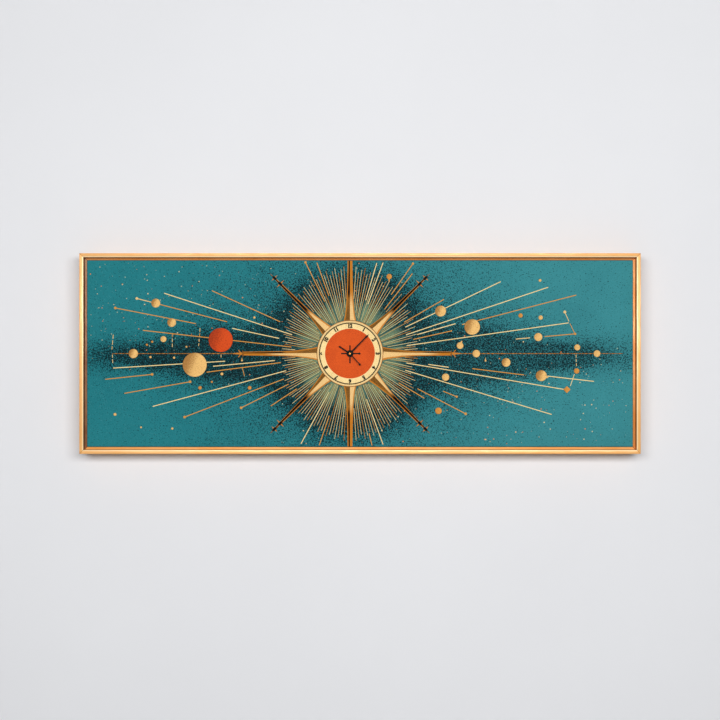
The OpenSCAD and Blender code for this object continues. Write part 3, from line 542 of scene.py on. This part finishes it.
def plasticFinish(name, base, dusty, roughness, grain=0.35 * mm):
    # moulded plastic with a fine spark-eroded texture
    material, tree, spot = startMaterial(name, Roughness=roughness)
    marks = wear(tree, spot, 12 * mm, 0.8 * mm)
    texture = dots(tree, spot, grain, 0.5, 0.3)
    colour = stain(tree, marks["Blotches"], 0.4, base, dusty)
    rough = timesPlus(tree, marks["Scratches"], 0.12, roughness - 0.04)
    return endMaterial(material, colour, texture, 0.03 * mm, 0.4, rough)


def woodFinish(name, stretch):
    pale, dark = tone(226, 190, 136), tone(190, 140, 84)
    material, tree, spot = startMaterial(name, Roughness=0.66)
    grain = place(tree, woodGrain, Place=spot, Stretch=stretch)
    marks = wear(tree, spot, 40 * mm)
    colour = stain(tree, grain["Rings"], 0.75, pale, dark)
    colour = stain(tree, grain["Pores"], 0.3, colour, dark)
    colour = stain(tree, marks["Blotches"], 0.15, colour, tone(176, 128, 74))
    height = calc(tree, "ADD", grain["Rings"], times(tree, grain["Pores"], -0.6))
    return endMaterial(material, colour, height, 0.1 * mm, 0.5)


def hardboardFinish():
    # pressed fibres, dark brown
    material, tree, spot = startMaterial("hardboard", Roughness=0.7)
    fibres = place(tree, brushing, Place=spot, Stretch=(0.35, 1, 1), Spacing=0.8 * mm)["Lines"]
    flecks = dots(tree, spot, 1.6 * mm, 0.25)
    colour = blendTone(tree, fibres, tone(104, 70, 44), tone(134, 96, 62))
    colour = stain(tree, flecks, 0.4, colour, tone(78, 50, 30))
    return endMaterial(material, colour, fibres, 0.08 * mm, 0.6)


def windingFinish():
    # enamelled copper wire wound round the coil's core, painted darker in the grooves between turns as
    # painted shade and lighter on their crests as painted highlight
    material, tree, spot = startMaterial("copperWinding", Metallic=1.0, Roughness=0.3)
    x = split(tree, spot)[0]
    turns = calc(tree, "SINE", times(tree, x, 2 * math.pi / (0.25 * mm)))
    high = timesPlus(tree, turns, 0.5, 0.5)
    colour = blendTone(tree, high, tone(120, 52, 24), tone(214, 122, 72))
    return endMaterial(material, colour, high, 0.08 * mm, 0.8)


def batteryFinish():
    # a plain sleeve, dark with a copper-coloured end
    low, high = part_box("battery")
    material, tree, spot = startMaterial("batterySleeve", Metallic=0.5, Roughness=0.3)
    along = split(tree, spot)[0 if high.x - low.x > high.z - low.z else 2]
    start = low.x if high.x - low.x > high.z - low.z else low.z
    band = between(tree, along, start + 36 * mm, start + 36.4 * mm)
    marks = wear(tree, spot, 10 * mm, 0.6 * mm)
    colour = blendTone(tree, band, tone(34, 36, 40), tone(196, 122, 62))
    colour = stain(tree, marks["Blotches"], 0.12, colour, tone(150, 150, 150))
    rough = timesPlus(tree, marks["Scratches"], 0.15, 0.24)
    return endMaterial(material, colour, marks["Scratches"], 0.01 * mm, 0.4, rough)


def circuitFinish():
    # green solder mask over faint tracks
    material, tree, spot = startMaterial("circuitBoard", Roughness=0.35)
    tracks = addNode(tree, "ShaderNodeTexVoronoi", {"Vector": spot, "Scale": 420.0},
                     distance="CHEBYCHEV", feature="F2").outputs["Distance"]
    lines = between(tree, tracks, 0.9, 0.98)
    colour = blendTone(tree, lines, tone(18, 78, 44), tone(58, 128, 72))
    return endMaterial(material, colour, lines, 0.03 * mm, 0.6)


# one gilt for each rail, its inner wall and step painted darker on the left and top rails and lighter on the
# bottom and right, as painted shade and painted light
giltTop = frameGiltFinish("giltTop", (0.03, 1, 1), tone(160, 86, 24), tone(226, 134, 56))
giltBottom = frameGiltFinish("giltBottom", (0.03, 1, 1), tone(214, 130, 50), tone(240, 160, 76))
giltLeft = frameGiltFinish("giltLeft", (1, 1, 0.03), tone(104, 52, 16), tone(120, 62, 24))
giltRight = frameGiltFinish("giltRight", (1, 1, 0.03), tone(196, 110, 36), tone(232, 142, 60))
paintedCanvas = paintedCanvasFinish()
rawCanvas = rawCanvasFinish()
orangeEnamel = enamelFinish("orangeEnamel", tone(222, 88, 30), giltTones["ember"], 0.020, 0.042)
creamEnamel = enamelFinish("creamEnamel", tone(252, 224, 160), tone(206, 158, 84), 0.046, 0.052)
inkEnamel = enamelFinish("inkEnamel", tone(12, 14, 14), tone(34, 32, 26), 0.0, 0.2)
bezelGilt = bezelFinish()
goldDisc = discFinish("goldDisc", tone(240, 192, 118), tone(212, 138, 52), tone(146, 92, 34), 0.9)
orangeDisc = discFinish("orangeDisc", tone(216, 78, 26), tone(216, 78, 26), tone(120, 34, 14), 0.6)
blackSteel = metalFinish("blackSteel", tone(8, 11, 11), tone(18, 21, 20), 0.6, metallic=0.0, specular=0.12)
zincSteel = metalFinish("zincSteel", tone(186, 190, 194), tone(150, 152, 152), 0.34)
brass = metalFinish("brass", tone(214, 168, 88), tone(170, 122, 56), 0.28)
capGold = metalFinish("capGold", tone(240, 150, 60), tone(220, 120, 40), 0.4, metallic=0.6)
magnetFinish = metalFinish("magnet", tone(70, 68, 70), tone(44, 42, 44), 0.5, metallic=0.6)
rubber = plasticFinish("blackRubber", tone(24, 24, 25), tone(52, 50, 48), 0.8, 0.6 * mm)
casePlastic = plasticFinish("blackPlastic", tone(26, 27, 29), tone(48, 48, 50), 0.46)
whitePlastic = plasticFinish("whitePlastic", tone(228, 226, 216), tone(202, 198, 184), 0.4)
pineAcross = woodFinish("pineAcross", (0.04, 1, 1))
pineUpright = woodFinish("pineUpright", (1, 1, 0.04))
hardboard = hardboardFinish()
copperWinding = windingFinish()
batterySleeve = batteryFinish()
circuitGreen = circuitFinish()
wirePaint = wireFinish()
print("finishes ready")


# Helpers for pieces

def newPiece(name, mesh):
    piece = bpy.data.objects.new(name, mesh)
    scene.collection.objects.link(piece)
    return piece


def settled(piece):
    # the piece with its modifiers made into a plain mesh
    bpy.context.view_layer.update()
    seen = piece.evaluated_get(bpy.context.evaluated_depsgraph_get())
    mesh = bpy.data.meshes.new_from_object(seen)
    mesh.name = piece.name
    piece.modifiers.clear()
    piece.data = mesh
    return piece


def smoothByAngle(mesh, degrees):
    mesh.polygons.foreach_set("use_smooth", [True] * len(mesh.polygons))
    mesh.set_sharp_from_angle(angle=math.radians(degrees))
    mesh.update()


def mergedCopy(nodeName):
    mesh = nodes[nodeName].data.copy()
    if "custom_normal" in mesh.attributes:
        mesh.attributes.remove(mesh.attributes["custom_normal"])
    build = bmesh.new()
    build.from_mesh(mesh)
    bmesh.ops.remove_doubles(build, verts=build.verts, dist=1e-6)
    return mesh, build


def softened(nodeName, width, finish, shortest=4 * mm):
    # the node's own shape with its long edges eased
    mesh, build = mergedCopy(nodeName)
    bmesh.ops.dissolve_limit(build, angle_limit=math.radians(0.6), verts=build.verts, edges=build.edges)
    eased = build.edges.layers.float.new("bevel_weight_edge")
    for edge in build.edges:
        if len(edge.link_faces) == 2 and edge.calc_length() > shortest:
            if edge.calc_face_angle() > math.radians(35):
                edge[eased] = 1.0
    build.to_mesh(mesh)
    build.free()
    piece = newPiece(nodeName + "Eased", mesh)
    bevel = piece.modifiers.new("ease", "BEVEL")
    bevel.limit_method = "WEIGHT"
    bevel.width = width
    bevel.segments = 2
    bevel.use_clamp_overlap = False
    settled(piece)
    smoothByAngle(piece.data, 30)
    onFrame(piece, finish, nodeName)


def onFrame(piece, finish, standsFor=None):
    # one finish all over, fixed to the frame, in place of a node if one is named
    piece.data.materials.clear()
    piece.data.materials.append(finish)
    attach(piece, "frame")
    if standsFor:
        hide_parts(standsFor)


def meshFrom(build, name):
    mesh = bpy.data.meshes.new(name)
    build.to_mesh(mesh)
    build.free()
    return mesh


def dress(finish, *nodeNames):
    for nodeName in nodeNames:
        mesh = nodes[nodeName].data
        if not mesh.materials:
            mesh.materials.append(finish)
        for index in range(len(mesh.materials)):
            mesh.materials[index] = finish


def islandsOf(build):
    # the separate solids in a mesh, as lists of vertices
    seen, found = set(), []
    for first in build.verts:
        if first in seen:
            continue
        island, waiting = [], [first]
        seen.add(first)
        while waiting:
            vertex = waiting.pop()
            island.append(vertex)
            for edge in vertex.link_edges:
                other = edge.other_vert(vertex)
                if other not in seen:
                    seen.add(other)
                    waiting.append(other)
        found.append(island)
    return found


# The frame

edges = {"frame": 0.6 * mm, "bar": 1 * mm, "board": 0.4 * mm, "case": 0.5 * mm, "cover": 0.3 * mm,
         "longOnly": 20 * mm}

for nodeName, finish in (("rail_top", giltTop), ("rail_bottom", giltBottom),
                         ("rail_left", giltLeft), ("rail_right", giltRight)):
    softened(nodeName, edges["frame"], finish)
for nodeName, finish in (("bar_top", pineAcross), ("bar_bottom", pineAcross),
                         ("bar_left", pineUpright), ("bar_right", pineUpright),
                         ("cross_braces", pineUpright)):
    softened(nodeName, edges["bar"], finish, edges["longOnly"])
softened("movement_board", edges["board"], hardboard, edges["longOnly"])
softened("movement_case", edges["case"], casePlastic)
softened("movement_cover", edges["cover"], casePlastic)
dress(zincSteel, "corner_brackets", "short_screws", "panel_screws", "hanger_straps",
      "d_ring_left", "d_ring_right", "canvas_staples", "battery_contacts", "stator")
dress(rubber, "wall_bumpers", "rubber_washer")
print("frame, bars and fittings ready")


# The canvas

canvasCloth = {
    "thick": 0.6 * mm, "turn": 1.2 * mm, "corner": 1.5 * mm, "fold": 19 * mm,
    "turnSteps": 4, "cornerSteps": 4, "sideSteps": 14, "flat": (1.030, 0.421),
}


def roundedOutline(halfWide, halfHigh, corner, y):
    # one loop round the panel, the same number of points at every size
    points = []
    steps, sides = canvasCloth["cornerSteps"], canvasCloth["sideSteps"]
    for quarter, (sx, sz) in enumerate(((1, 1), (-1, 1), (-1, -1), (1, -1))):
        middle = Vector((sx * (halfWide - corner), y, sz * (halfHigh - corner)))
        for step in range(steps + 1):
            angle = math.pi / 2 * (quarter + step / steps)
            points.append(middle + Vector((math.cos(angle), 0, math.sin(angle))) * corner)
        nextX, nextZ = ((-1, 1), (-1, -1), (1, -1), (1, 1))[quarter]
        after = math.pi / 2 * (quarter + 1)
        goal = Vector((nextX * (halfWide - corner), y, nextZ * (halfHigh - corner)))
        goal += Vector((math.cos(after), 0, math.sin(after))) * corner
        start = points[-1].copy()
        for step in range(1, sides):
            points.append(start.lerp(goal, step / sides))
    return points


def canvasLoops():
    cloth = canvasCloth
    halfWide, halfHigh = canvasHigh.x, canvasHigh.z
    front, back, turn = canvasLow.y, canvasHigh.y, cloth["turn"]
    edge = roundedOutline(halfWide - turn, halfHigh - turn, cloth["corner"], front)
    holeRadius = (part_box("threaded_bush")[1].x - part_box("threaded_bush")[0].x) / 2 + 0.2 * mm
    hole = []
    for point in edge:
        away = Vector((point.x - arbor.x, 0, point.z - arbor.z)).normalized()
        hole.append(Vector((arbor.x, front, arbor.z)) + away * holeRadius)
    loops = [hole, edge]
    for step in range(1, cloth["turnSteps"] + 1):
        angle = math.pi / 2 * step / cloth["turnSteps"]
        out = turn * math.sin(angle)
        loops.append(roundedOutline(halfWide - turn + out, halfHigh - turn + out, cloth["corner"],
                                    front + turn * (1 - math.cos(angle))))
    for step in range(cloth["turnSteps"]):
        angle = math.pi / 2 * step / cloth["turnSteps"]
        out = turn * math.cos(angle)
        loops.append(roundedOutline(halfWide - turn + out, halfHigh - turn + out, cloth["corner"],
                                    back - turn * (1 - math.sin(angle))))
    loops.append(roundedOutline(halfWide - turn, halfHigh - turn, cloth["corner"], back))
    loops.append(roundedOutline(halfWide - cloth["fold"], halfHigh - cloth["fold"], cloth["corner"], back))
    return loops


def makeCanvas():
    build = bmesh.new()
    rows = [[build.verts.new(point) for point in loop] for loop in canvasLoops()]
    count = len(rows[0])
    for inner, outer in zip(rows, rows[1:]):
        for index in range(count):
            after = (index + 1) % count
            build.faces.new((inner[index], outer[index], outer[after], inner[after]))
    build.normal_update()
    build.faces.ensure_lookup_table()
    if build.faces[0].normal.y > 0:
        bmesh.ops.reverse_faces(build, faces=build.faces)
    mesh = meshFrom(build, "stretchedCanvas")
    mesh.materials.append(paintedCanvas)
    mesh.materials.append(rawCanvas)
    piece = newPiece("stretchedCanvas", mesh)
    solid = piece.modifiers.new("thickness", "SOLIDIFY")
    solid.thickness = canvasCloth["thick"]
    solid.offset = -1
    solid.material_offset = 1
    solid.material_offset_rim = 1
    settled(piece)
    smoothByAngle(piece.data, 40)
    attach(piece, "frame")
    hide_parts("canvas")


makeCanvas()
print("canvas ready")


# The sunburst

# each ray's direction, and which side of it is painted lit
mainRays = {
    "ray_north": (0, 1), "ray_northeast": (45, 1), "ray_east": (90, 1), "ray_southeast": (135, -1),
    "ray_south": (180, -1), "ray_southwest": (225, -1), "ray_west": (270, -1), "ray_northwest": (315, 1),
}
inlays = {
    "upright": {"both": False, "from": 0.096, "to": 0.30, "outline": 0.6 * mm, "paleTo": 0.100},
    "west": {"both": False, "from": 0.112, "to": 0.183, "outline": 0.6 * mm, "paleTo": 0.140,
             "dashFrom": 0.198},
    "east": {"both": False, "from": 0.126, "to": 0.173, "outline": 0.6 * mm, "paleTo": 0.150,
             "dashFrom": 0.188},
    "diagonal": {"both": True, "from": 0.100, "to": 0.20, "outline": 0.58 * mm, "paleTo": 0.104},
}
for nodeName, (direction, lightSide) in mainRays.items():
    kind = {0: "upright", 90: "east", 180: "upright", 270: "west"}.get(direction, "diagonal")
    dress(rayFinish(nodeName + "Gilt", direction, lightSide, inlays[kind]), nodeName)

fineWires = {"root": 0.55 * mm, "tip": 0.38 * mm, "sides": 8}


def startTree(name, numbers, whole=()):
    # a tree that takes a mesh with these inputs and gives a mesh
    tree = bpy.data.node_groups.new(name, "GeometryNodeTree")
    tree.interface.new_socket("Geometry", in_out="INPUT", socket_type="NodeSocketGeometry")
    for kind, names in (("NodeSocketFloat", numbers), ("NodeSocketInt", whole)):
        for socketName in names:
            tree.interface.new_socket(socketName, in_out="INPUT", socket_type=kind)
    tree.interface.new_socket("Geometry", in_out="OUTPUT", socket_type="NodeSocketGeometry")
    return tree, tree.nodes.new("NodeGroupInput").outputs


def endTree(tree, shapes, finish):
    real = addNode(tree, "GeometryNodeRealizeInstances", {"Geometry": shapes}).outputs[0]
    painted = addNode(tree, "GeometryNodeSetMaterial", {"Geometry": real, "Material": finish})
    tree.links.new(painted.outputs[0], tree.nodes.new("NodeGroupOutput").inputs["Geometry"])
    return tree


def wireTree():
    # thin round wires along the edges of a mesh, tapering outwards
    tree, given = startTree("TaperedWires", ("Root Radius", "Tip Radius"))
    curve = addNode(tree, "GeometryNodeMeshToCurve", {"Mesh": given["Geometry"]}).outputs[0]
    reach = addNode(tree, "GeometryNodeInputNamedAttribute", {"Name": "reach"}, data_type="FLOAT")
    radius = addNode(tree, "ShaderNodeMapRange", {
        "Value": reach.outputs[0], "To Min": given["Root Radius"], "To Max": given["Tip Radius"]})
    sized = addNode(tree, "GeometryNodeSetCurveRadius",
                    {"Curve": curve, "Radius": radius.outputs["Result"]}).outputs[0]
    circle = addNode(tree, "GeometryNodeCurvePrimitiveCircle",
                     {"Resolution": fineWires["sides"], "Radius": 1.0}).outputs[0]
    wires = addNode(tree, "GeometryNodeCurveToMesh",
                    {"Curve": sized, "Profile Curve": circle, "Fill Caps": True})
    if "Scale" in wires.inputs:
        tree.links.new(radius.outputs["Result"], wires.inputs["Scale"])
    return endTree(tree, wires.outputs[0], wirePaint)


def runTree(piece, tree, values):
    modifier = piece.modifiers.new("grow", "NODES")
    modifier.node_group = tree
    for item in tree.interface.items_tree:
        if item.item_type == "SOCKET" and item.in_out == "INPUT" and item.name in values:
            modifier[item.identifier] = values[item.name]
    return settled(piece)


def makeFineWires():
    # one edge for each fine ray, from its root to its tip
    _, build = mergedCopy("fine_rays")
    lines = bmesh.new()
    reach = lines.verts.layers.float.new("reach")
    tint = lines.verts.layers.float.new("tint")
    ordered = []
    for island in islandsOf(build):
        middle = sum((v.co for v in island), Vector()) / len(island) - arbor
        middle.y = 0
        distances = [math.hypot(v.co.x - arbor.x, v.co.z - arbor.z) for v in island]
        ordered.append((math.atan2(middle.x, middle.z), min(distances), max(distances)))
    for index, (angle, near, far) in enumerate(sorted(ordered)):
        away = Vector((math.sin(angle), 0, math.cos(angle)))
        base = Vector((arbor.x, canvasFront, arbor.z))
        ends = [lines.verts.new(base + away * near), lines.verts.new(base + away * far)]
        for end, share in zip(ends, (0.0, 1.0)):
            end[reach] = share
            end[tint] = 1.0 if index % 2 else 0.35 if index % 3 else 0.0
        lines.edges.new(ends)
    build.free()
    piece = newPiece("fineWires", meshFrom(lines, "fineWires"))
    runTree(piece, wireTree(), {"Root Radius": fineWires["root"], "Tip Radius": fineWires["tip"]})
    smoothByAngle(piece.data, 50)
    onFrame(piece, wirePaint, "fine_rays")


makeFineWires()

longWires = {
    "pale": (288, 282.1, 266.5, 255, 262.6, 264.7, 64.5, 71.5, 74.2, 82, 96.5, 97.9, 99.5, 106.8, 208.5,
             160, 16.5, 20),
}


def makeLongWires():
    # each long ray is pale or amber, by its direction
    mesh, build = mergedCopy("long_rays")
    tint = build.verts.layers.float.new("tint")
    for island in islandsOf(build):
        middle = sum((v.co for v in island), Vector()) / len(island) - arbor
        direction = math.degrees(math.atan2(middle.x, middle.z)) % 360
        pale = min(abs(direction - one) for one in longWires["pale"]) < 0.3
        size = max((v.co - island[0].co).length for v in island)
        for vertex in island:
            away = vertex.co - arbor
            tip = math.hypot(away.x, away.z)
            vertex[tint] = 0.95 if pale else 0.12
            if size < 0.03 and tip > 0.2:
                vertex[tint] = 0.7
    build.to_mesh(mesh)
    build.free()
    onFrame(newPiece("longWires", mesh), wirePaint, "long_rays")


makeLongWires()


warmSpots = ((-361, 15), (-352, 20), (-187, -58), (-251, -48), (133, -97), (49.5, 130.5), (350.5, -61),
             (367, -29.5), (-271, -58), (272, 64.5))


def makeDiscs(nodeName, finish):
    # every disc carries its own square of the UV map, its centre at the middle
    mesh, build = mergedCopy(nodeName)
    while build.loops.layers.uv:
        build.loops.layers.uv.remove(build.loops.layers.uv[0])
    own = build.loops.layers.uv.new("discPlace")
    depth = build.verts.layers.float.new("depth")
    warmth = build.verts.layers.float.new("warmth")
    for island in islandsOf(build):
        xs = [v.co.x for v in island]
        zs = [v.co.z for v in island]
        half = min(max(xs) - min(xs), max(zs) - min(zs)) / 2
        middle = ((max(xs) + min(xs)) / 2, (max(zs) + min(zs)) / 2)
        warm = any(math.hypot(middle[0] - x * mm, middle[1] - z * mm) < 6 * mm and half < 7 * mm
                   for x, z in warmSpots)
        for vertex in island:
            vertex[depth] = 1.0 if half > 7 * mm else 0.3
            vertex[warmth] = 0.85 if warm else 0.0
            for loop in vertex.link_loops:
                loop[own].uv = ((vertex.co.x - middle[0]) / half, (vertex.co.z - middle[1]) / half)
    build.to_mesh(mesh)
    build.free()
    smoothByAngle(mesh, 50)
    onFrame(newPiece(nodeName + "Painted", mesh), finish, nodeName)


makeDiscs("gold_discs", goldDisc)
makeDiscs("orange_discs", orangeDisc)
print("sunburst ready")


# The flecks

flecks = {
    "Density": 3400.0, "Least": 0.4, "Most": 1.25, "Height": 0.3 * mm, "Clear Radius": 100 * mm, "Seed": 7,
}


def fleckFinish():
    material, tree, spot = startMaterial("fleckPaint", Roughness=0.5)
    tint = addNode(tree, "ShaderNodeAttribute", attribute_name="tint").outputs["Fac"]
    warm = between(tree, tint, 0.62, 0.72)
    colour = blendTone(tree, between(tree, tint, 0.2, 0.5), tone(142, 172, 150), tone(236, 212, 156))
    colour = blendTone(tree, warm, colour, tone(224, 134, 62))
    grains = dots(tree, spot, 0.6 * mm, 0.3)
    colour = stain(tree, grains, 0.3, colour, giltTones["umber"])
    return endMaterial(material, colour, grains, 0.03 * mm, 0.5)


def fleckTree(finish):
    # small domed dabs of paint strewn over a sheet, more of them to the upper left and lower right
    numbers = ("Density", "Least", "Most", "Height", "Clear Radius")
    tree, given = startTree("PaintFlecks", numbers, ("Seed",))
    strewn = addNode(tree, "GeometryNodeDistributePointsOnFaces", {
        "Mesh": given["Geometry"], "Density": given["Density"], "Seed": given["Seed"]}).outputs[0]
    position = addNode(tree, "GeometryNodeInputPosition").outputs[0]
    dx, dz, radius = fromArbor(tree, position)
    near = calc(tree, "LESS_THAN", radius, given["Clear Radius"])
    slope = times(tree, times(tree, dx, dz), -30.0)
    chance = addNode(tree, "FunctionNodeRandomValue", {"Seed": 21}, data_type="FLOAT").outputs[1]
    thin = calc(tree, "GREATER_THAN", chance, calc(tree, "ADD", slope, 0.55))
    drop = calc(tree, "MAXIMUM", near, thin)
    kept = addNode(tree, "GeometryNodeDeleteGeometry", {"Geometry": strewn, "Selection": drop}).outputs[0]
    tint = addNode(tree, "FunctionNodeRandomValue", {"Seed": 5}, data_type="FLOAT").outputs[1]
    named = addNode(tree, "GeometryNodeStoreNamedAttribute",
                    {"Geometry": kept, "Name": "tint", "Value": tint}, data_type="FLOAT").outputs[0]
    even = addNode(tree, "FunctionNodeRandomValue", {"Seed": 3}, data_type="FLOAT").outputs[1]
    skewed = calc(tree, "POWER", even, 2.2)
    width = addNode(tree, "ShaderNodeMapRange", {
        "Value": skewed, "To Min": given["Least"], "To Max": given["Most"]}).outputs["Result"]
    wide = times(tree, width, mm)
    size = addNode(tree, "ShaderNodeCombineXYZ", {"X": wide, "Y": given["Height"], "Z": wide}).outputs[0]
    dab = addNode(tree, "GeometryNodeMeshIcoSphere", {"Radius": 1.0, "Subdivisions": 2}).outputs[0]
    placed = addNode(tree, "GeometryNodeInstanceOnPoints",
                     {"Points": named, "Instance": dab, "Scale": size}).outputs[0]
    return endTree(tree, placed, finish)


def makeFlecks():
    inset = 5 * mm
    halfWide, halfHigh = canvasHigh.x - inset, canvasHigh.z - inset
    mesh = bpy.data.meshes.new("paintFlecks")
    corners = [(-halfWide, canvasFront, -halfHigh), (halfWide, canvasFront, -halfHigh),
               (halfWide, canvasFront, halfHigh), (-halfWide, canvasFront, halfHigh)]
    mesh.from_pydata(corners, [], [(0, 1, 2, 3)])
    piece = newPiece("paintFlecks", mesh)
    fleckPaint = fleckFinish()
    runTree(piece, fleckTree(fleckPaint), flecks)
    smoothByAngle(piece.data, 60)
    onFrame(piece, fleckPaint)


makeFlecks()
print("flecks ready")


# The dial and hands

dialMarks = {"tall": 6.0 * mm, "thick": 0.12 * mm, "heavier": 0.07, "lineInner": 50.7 * mm,
             "lineOuter": 52.4 * mm, "lineSteps": 160}
chapterLow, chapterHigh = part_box("chapter_ring")
dialInner = 42.2 * mm
numeralRadius = (dialInner + dialMarks["lineInner"]) / 2


def makeNumerals():
    # the hours, one to twelve, standing round the dial with their tops outwards
    joined = bmesh.new()
    for hour in range(1, 13):
        text = bpy.data.curves.new("hourText", "FONT")
        text.body = str(hour)
        text.align_x = "CENTER"
        text.align_y = "CENTER"
        size = dialMarks["tall"] / 0.70
        text.size = 1.0
        text.offset = dialMarks["heavier"]
        text.extrude = dialMarks["thick"] / size / 2
        text.resolution_u = 3
        text.space_character = 0.9
        holder = newPiece("hourText", text)
        bpy.context.view_layer.update()
        mesh = bpy.data.meshes.new_from_object(holder.evaluated_get(bpy.context.evaluated_depsgraph_get()))
        turn = math.radians(30 * hour)
        out = Vector((math.sin(turn), 0, math.cos(turn))) * numeralRadius
        middle = Vector((arbor.x, chapterLow.y - dialMarks["thick"] / 2 + 0.02 * mm, arbor.z)) + out
        facing = Matrix.Rotation(math.radians(90), 4, "X")
        mesh.transform(Matrix.Translation(middle) @ Matrix.Rotation(turn, 4, "Y") @ facing
                       @ Matrix.Scale(size, 4))
        joined.from_mesh(mesh)
        bpy.data.objects.remove(holder)
        bpy.data.meshes.remove(mesh)
    bmesh.ops.remove_doubles(joined, verts=joined.verts, dist=1e-7)
    bmesh.ops.recalc_face_normals(joined, faces=joined.faces)
    onFrame(newPiece("hourNumerals", meshFrom(joined, "hourNumerals")), inkEnamel)


def makeDialLine():
    # the thin black circle round the numerals
    build = bmesh.new()
    front = chapterLow.y - dialMarks["thick"]
    back = chapterLow.y + 0.02 * mm
    rows = []
    for step in range(dialMarks["lineSteps"]):
        turn = 2 * math.pi * step / dialMarks["lineSteps"]
        away = Vector((math.sin(turn), 0, math.cos(turn)))
        centre = Vector((arbor.x, 0, arbor.z))
        rows.append([
            build.verts.new(centre + away * radius + Vector((0, y, 0)))
            for radius, y in ((dialMarks["lineInner"], back), (dialMarks["lineInner"], front),
                              (dialMarks["lineOuter"], front), (dialMarks["lineOuter"], back))
        ])
    for index, row in enumerate(rows):
        after = rows[(index + 1) % len(rows)]
        for side in range(4):
            beside = (side + 1) % 4
            build.faces.new((row[side], row[beside], after[beside], after[side]))
    bmesh.ops.recalc_face_normals(build, faces=build.faces)
    onFrame(newPiece("dialLine", meshFrom(build, "dialLine")), inkEnamel)


makeNumerals()
makeDialLine()
dress(orangeEnamel, "dial_plate")
dress(creamEnamel, "chapter_ring")
dress(bezelGilt, "bezel")
dress(blackSteel, "dial_cross", "dial_nut", "dial_washer", "hour_hand", "minute_hand", "second_hand")
dress(capGold, "hand_cap")
dress(brass, "threaded_bush")
print("dial and hands ready")


# The movement

dress(whitePlastic, "train_plate", "idler_wheel", "second_wheel", "third_wheel", "centre_wheel",
      "setting_wheel", "hour_wheel", "setting_knob")
dress(magnetFinish, "rotor")
dress(copperWinding, "coil")
dress(circuitGreen, "circuit_board")
dress(batterySleeve, "battery")
print("movement ready")


# Stage, light and camera

studio = {
    "wallHalf": 3.4, "floorAt": -0.95, "viewDistance": 2.4, "viewWidth": 1.2154, "eyeHeight": -0.0109,
    "wall": tone(234, 235, 238), "floor": tone(160, 160, 160),
    "keyPlace": (0.08, -2.9, 0.49), "keySize": (2.9, 0.74), "keyPower": 86.0,
    "backPlace": (-0.6, 2.9, 1.3), "backSize": (2.6, 1.6), "backPower": 75.0,
    "sky": (1.0, 1.0, 1.0, 1), "skyPower": 0.07, "skySeen": 0.6,
}


def stageFinish(name, colour, oneSided):
    material, tree, spot = startMaterial(name, Roughness=0.85)
    shader = tree.nodes["Principled BSDF"]
    cloud = noise(tree, spot, 2.5, 3.0, 0.5)
    tree.links.new(blendTone(tree, between(tree, cloud, 0.3, 0.7, 0.0, 0.06), colour, tone(200, 200, 205)),
                   shader.inputs["Base Color"])
    if oneSided:
        # the wall is open from behind, and lets the back light reach what it covers of the clock
        behind = addNode(tree, "ShaderNodeNewGeometry").outputs["Backfacing"]
        shadowRay = addNode(tree, "ShaderNodeLightPath").outputs["Is Shadow Ray"]
        x, _, z = split(tree, spot)
        for reach, half in ((x, frameHalf.x), (z, frameHalf.z)):
            covered = calc(tree, "LESS_THAN", absolute(tree, reach), half)
            shadowRay = times(tree, shadowRay, covered)
        clear = addNode(tree, "ShaderNodeBsdfTransparent").outputs[0]
        mix = addNode(tree, "ShaderNodeMixShader")
        tree.links.new(calc(tree, "MAXIMUM", behind, shadowRay), mix.inputs[0])
        tree.links.new(shader.outputs[0], mix.inputs[1])
        tree.links.new(clear, mix.inputs[2])
        tree.links.new(mix.outputs[0], tree.nodes["Material Output"].inputs["Surface"])
    return material


def flatMesh(name, corners):
    mesh = bpy.data.meshes.new(name)
    mesh.from_pydata(corners, [], [(0, 1, 2, 3)])
    return mesh


def makeStage():
    half, low = studio["wallHalf"], studio["floorAt"]
    wallMesh = flatMesh("wall", [(-half, 0, low), (half, 0, low), (half, 0, half), (-half, 0, half)])
    wallMesh.materials.append(stageFinish("wallPaint", studio["wall"], True))
    newPiece("wall", wallMesh)
    floorCorners = [(-half, -half, low), (half, -half, low), (half, half, low), (-half, half, low)]
    floorMesh = flatMesh("floor", floorCorners)
    floorMesh.materials.append(stageFinish("floorPaint", studio["floor"], False))
    newPiece("floor", floorMesh)


def addLight(name, spot, size, power):
    light = bpy.data.lights.new(name, "AREA")
    light.shape = "RECTANGLE"
    light.size, light.size_y = size
    light.energy = power
    lamp = newPiece(name, light)
    lamp.location = spot
    lamp.rotation_euler = (-Vector(spot)).to_track_quat("-Z", "Y").to_euler()


makeStage()
addLight("keyLight", studio["keyPlace"], studio["keySize"], studio["keyPower"])
addLight("backLight", studio["backPlace"], studio["backSize"], studio["backPower"])
world = bpy.data.worlds.new("studioSky")
world.use_nodes = True
sky = world.node_tree.nodes["Background"]
sky.inputs["Color"].default_value = studio["sky"]
seenSky = addNode(world.node_tree, "ShaderNodeLightPath").outputs["Is Camera Ray"]
skyStrength = calc(world.node_tree, "MULTIPLY_ADD", seenSky, studio["skySeen"], studio["skyPower"])
world.node_tree.links.new(skyStrength, sky.inputs["Strength"])
scene.world = world
scene.view_settings.view_transform = "Standard"

eye = bpy.data.cameras.new("eye")
camera = newPiece("eye", eye)
frontFace = cadBox[0].y
camera.location = (0, frontFace - studio["viewDistance"], studio["eyeHeight"])
camera.rotation_euler = (math.radians(90), 0, 0)
eye.lens = eye.sensor_width * studio["viewDistance"] / studio["viewWidth"]
eye.clip_end = 30
scene.camera = camera
print("stage, light and camera ready")
